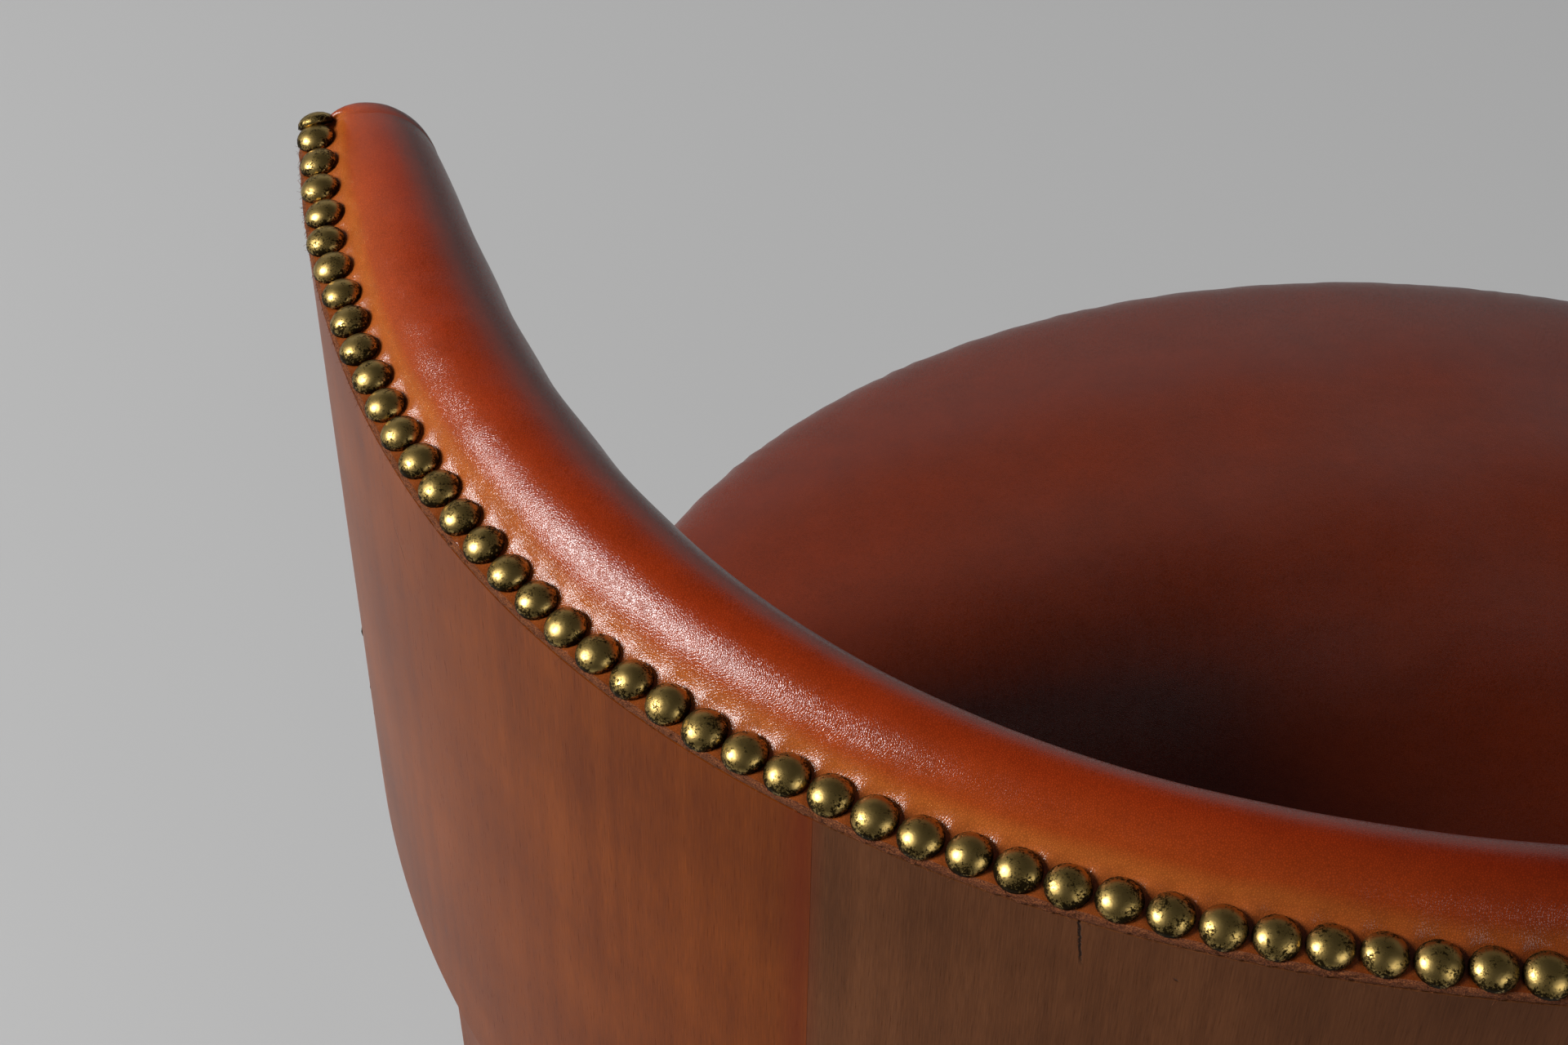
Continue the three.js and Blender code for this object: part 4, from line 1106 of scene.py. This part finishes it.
seatFoot = domeFoot - seat["sideDrop"]


# Point of the seat's plan at an angle from the front, moved out by grow and drawn in by a scale
def seatPoint(angle, grow, scale, height):
    front = np.cos(angle) > 0
    power = np.where(front, 2 / seat["frontSquareness"], 2 / seat["backSquareness"])
    depth = np.where(front, seat["frontDepth"], seat["backDepth"]) + grow
    x = (seat["halfWidth"] + grow) * scale * signedPower(np.sin(angle), power)
    y = seat["centreBehind"] - depth * scale * signedPower(np.cos(angle), power)
    return np.stack([x, y + planBack, height + 0 * x], -1)


# Rows from the crown out over the dome, down the side and in under the foot
def makeSeat():
    size = seat
    angle = np.linspace(0, 2 * math.pi, size["sides"], endpoint=False)[None, :]
    scale = np.sin(np.linspace(size["firstRing"], 1, size["rings"])[:, None] * math.pi / 2)
    fall = size["domeRise"] * (1 - (1 - scale ** size["domeExponent"]) ** (1 / size["domeExponent"]))
    down = np.linspace(0, 1, size["sideRings"] + 1)[1:, None]
    turn = np.linspace(0, math.pi / 2, size["footRings"] + 1)[1:, None]
    grid = np.concatenate([
        seatPoint(angle, 0, scale, size["crownHeight"] - fall),
        seatPoint(angle, -size["drawIn"] * smoothStep(down), 1,
                  domeFoot - down * (size["sideDrop"] - size["footRound"])),
        seatPoint(angle, -size["drawIn"] - size["footRound"] * (1 - np.cos(turn)), 1,
                  seatFoot + size["footRound"] * (1 - np.sin(turn))),
        seatPoint(angle, -size["drawIn"] - size["underInset"], 1, seatFoot),
        seatPoint(angle, -size["drawIn"] - size["middleInset"], size["middleScale"], seatFoot),
    ])
    row = np.arange(len(grid))[:, None]
    rim = smoothStep(row, *size["pullRows"]) * smoothStep(len(grid) - 3 - row, 0, size["pullEndRows"])
    pulls = rim * ripple(angle * size["halfWidth"], *size["pulls"])
    x, y = grid[..., 0], grid[..., 1]
    soft = smoothStep(row, *size["softRows"]) * (
        ripple(x + size["softSlants"][0] * y, *size["softAcross"])
        + ripple(y + size["softSlants"][1] * x, *size["softAlong"]))
    grid = grid + gridNormals(grid, size["topRing"], 0, True) * (pulls + soft)[..., None]
    piece = gridMesh("seatCover", grid, closedColumns=True, poles=True)
    fitOut(piece, (seatLeather,), "leather", "seat_cover", "seat_stuffing")


makeSeat()
print("seat made")

# Ring of rails: rectangular section with rounded edges, carried along the seat's plan. Joints are at
# angles from the front.
rail = {
    "height": 52 * mm,
    "thickness": 28 * mm,
    "proud": 4 * mm,
    "edgeRound": 2 * mm,
    "cornerPoints": 4,
    "columns": 90,
    "frontJoint": 44,
    "rearJoint": 109.483,
}


# Rectangle with its corners rounded: a quarter circle at each corner in turn
def roundedSection(outer, inner, foot, top, radius, steps):
    quarter = np.linspace(0, math.pi / 2, steps)
    corners = ((outer - radius, foot + radius), (outer - radius, top - radius),
               (inner + radius, top - radius), (inner + radius, foot + radius))
    return np.concatenate([
        np.stack([x + radius * np.cos(quarter + turn * math.pi / 2),
                  z + radius * np.sin(quarter + turn * math.pi / 2)], -1)
        for turn, (x, z) in zip((3, 0, 1, 2), corners)])


# One rail: the section at every angle of its run, set out from the seat's plan
def makeRail(place, fromAngle, toAngle):
    size = rail
    top = seatFoot - barrel["gap"]
    section = roundedSection(size["proud"], size["proud"] - size["thickness"], top - size["height"], top,
                             size["edgeRound"], size["cornerPoints"])
    angle = np.linspace(fromAngle, toAngle, size["columns"])[None, :]
    grid = seatPoint(angle, section[:, :1], 1, section[:, 1:])
    uv = np.stack([grid[..., 2] + section[:, :1], angle * seat["halfWidth"] + 0 * grid[..., 2]], -1)
    piece = gridMesh("seatRail" + place.title(), grid, ring=True, ends=True, uv=uv)
    fitOut(piece, (darkWalnut,), "wood", "seat_rail_" + place)


# Ring of four rails, cut at the joints with a little slack between them
def makeRails():
    slack = barrel["gap"] / 2 / seat["halfWidth"]
    front, rear, whole = math.radians(rail["frontJoint"]), math.radians(rail["rearJoint"]), 2 * math.pi
    runs = {"left": (front, rear), "back": (rear, whole - rear), "right": (whole - rear, whole - front),
            "front": (whole - front, whole + front)}
    for place, (low, high) in runs.items():
        makeRail(place, low + slack, high - slack)


makeRails()
print("rails made")

# CAD nodes shown as they are: how their loose triangles are welded and which edges are rounded
dressing = {"weld": 0.01 * mm, "segments": 3, "sharperThan": 22}


# Gives every CAD node whose name starts so its finish, and rounds its edges by a width
def dress(start, material, edge=0.0):
    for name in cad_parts:
        if not name.startswith(start):
            continue
        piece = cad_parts[name]
        piece.data.materials.clear()
        piece.data.materials.append(material)
        if edge:
            piece.modifiers.new("weld", "WELD").merge_threshold = dressing["weld"]
            bevel = piece.modifiers.new("bevel", "BEVEL")
            bevel.width = edge
            bevel.segments = dressing["segments"]
            bevel.limit_method = "ANGLE"
            bevel.angle_limit = math.radians(dressing["sharperThan"])


dress("leg_", solidWalnut, 1.2 * mm)
dress("back_stay", solidWalnut, 1 * mm)
dress("corner_block", beech, 0.8 * mm)
dress("seat_frame", beech)
dress(("shell_screw", "corner_screw"), zinc)
dress("webbing", jute)
dress("dust_cloth", calico)
dress("glide", nylon)
print("frame pieces dressed")

# Studio: a pale grey floor in a dim room, a key box high on the photograph's left, a weak fill box
# behind on its right and a wide low box in front. A pale wall ahead shows only in what is glossy.
studio = {
    "floor": "#a8a8a8",
    "floorRoughness": 0.9,
    "floorGlow": 0.2,
    "floorMirrored": 0.1,
    "floorHalf": 6.0,
    "room": "#ffffff",
    "roomStrength": 0.04,
    "backdrop": 0.42,
    "wallShown": 0.14,
    "wallBelow": (0.72, 0.55),
    "wallAhead": (0.1, -0.4),
    "lights": {
        "keyBox": {"place": (2.76, 0.33, 2.3), "aim": (0.25, 0.1, 0.66), "size": (1.1, 1.2),
                   "power": 100},
        "fillBox": {"place": (-1.2, 1.6, 1.4), "aim": (0.0, 0.1, 0.5), "size": (1.2, 1.2),
                    "power": 10},
        "frontBox": {"place": (0.2, -3.0, 1.4), "aim": (0.0, 0.0, 0.5), "size": (4.5, 1.8),
                     "power": 4.5},
    },
}


# Floor that glows a little to the camera, and less in what is glossy
def makeFloor(size):
    half = size["floorHalf"]
    corners = [(-half, -half, 0), (half, -half, 0), (half, half, 0), (-half, half, 0)]
    mesh = bpy.data.meshes.new("floor")
    mesh.from_pydata(corners, [], [(0, 1, 2, 3)])
    floor = bpy.data.objects.new("floor", mesh)
    bpy.context.scene.collection.objects.link(floor)
    material, tree = newMaterial("paintedFloor")
    ray = node(tree, "LightPath")
    glow = weighted(tree, 0.0, (ray["Is Camera Ray"], size["floorGlow"]),
                    (ray["Is Glossy Ray"], size["floorMirrored"]))
    finishShader(tree, Base_Color=linear(size["floor"]), Roughness=size["floorRoughness"],
                 Emission_Color=(1, 1, 1, 1), Emission_Strength=glow)
    mesh.materials.append(material)


# Dim room with a smooth band of pale wall low and ahead, for what is glossy
def makeRoom(size):
    world = bpy.data.worlds.new("room")
    bpy.context.scene.world = world
    world.use_nodes = True
    sky = world.node_tree
    ground = sky.nodes["Background"].inputs
    ground["Color"].default_value = linear(size["room"])
    way = node(sky, "SeparateXYZ", (node(sky, "TexCoord")["Generated"],))
    low, ahead = (
        node(sky, "MapRange", (value, start, end), interpolation_type="SMOOTHSTEP")[0]
        for value, (start, end) in ((way[2], size["wallBelow"]), (way[1], size["wallAhead"])))
    ray = node(sky, "LightPath")
    wall = node(sky, "Math", (low, ahead), operation="MULTIPLY")[0]
    mirrored = node(sky, "Math", (wall, ray["Is Glossy Ray"]), operation="MULTIPLY")[0]
    shown = weighted(sky, size["roomStrength"], (mirrored, size["wallShown"]),
                     (ray["Is Camera Ray"], size["backdrop"] - size["roomStrength"]))
    fill(sky, ground["Strength"], shown)


# Box light that shines from its place to its aim and that the camera doesn't see
def makeLight(name, lamp):
    data = bpy.data.lights.new(name, "AREA")
    data.shape = "RECTANGLE"
    data.size, data.size_y = lamp["size"]
    data.energy = lamp["power"]
    body = bpy.data.objects.new(name, data)
    body.visible_camera = False
    body.location = lamp["place"]
    away = Vector(lamp["place"]) - Vector(lamp["aim"])
    body.rotation_euler = away.to_track_quat("Z", "Y").to_euler()
    bpy.context.scene.collection.objects.link(body)


makeFloor(studio)
makeRoom(studio)
for lightName, lamp in studio["lights"].items():
    makeLight(lightName, lamp)
bpy.context.scene.view_settings.view_transform = "Standard"
print("studio made")
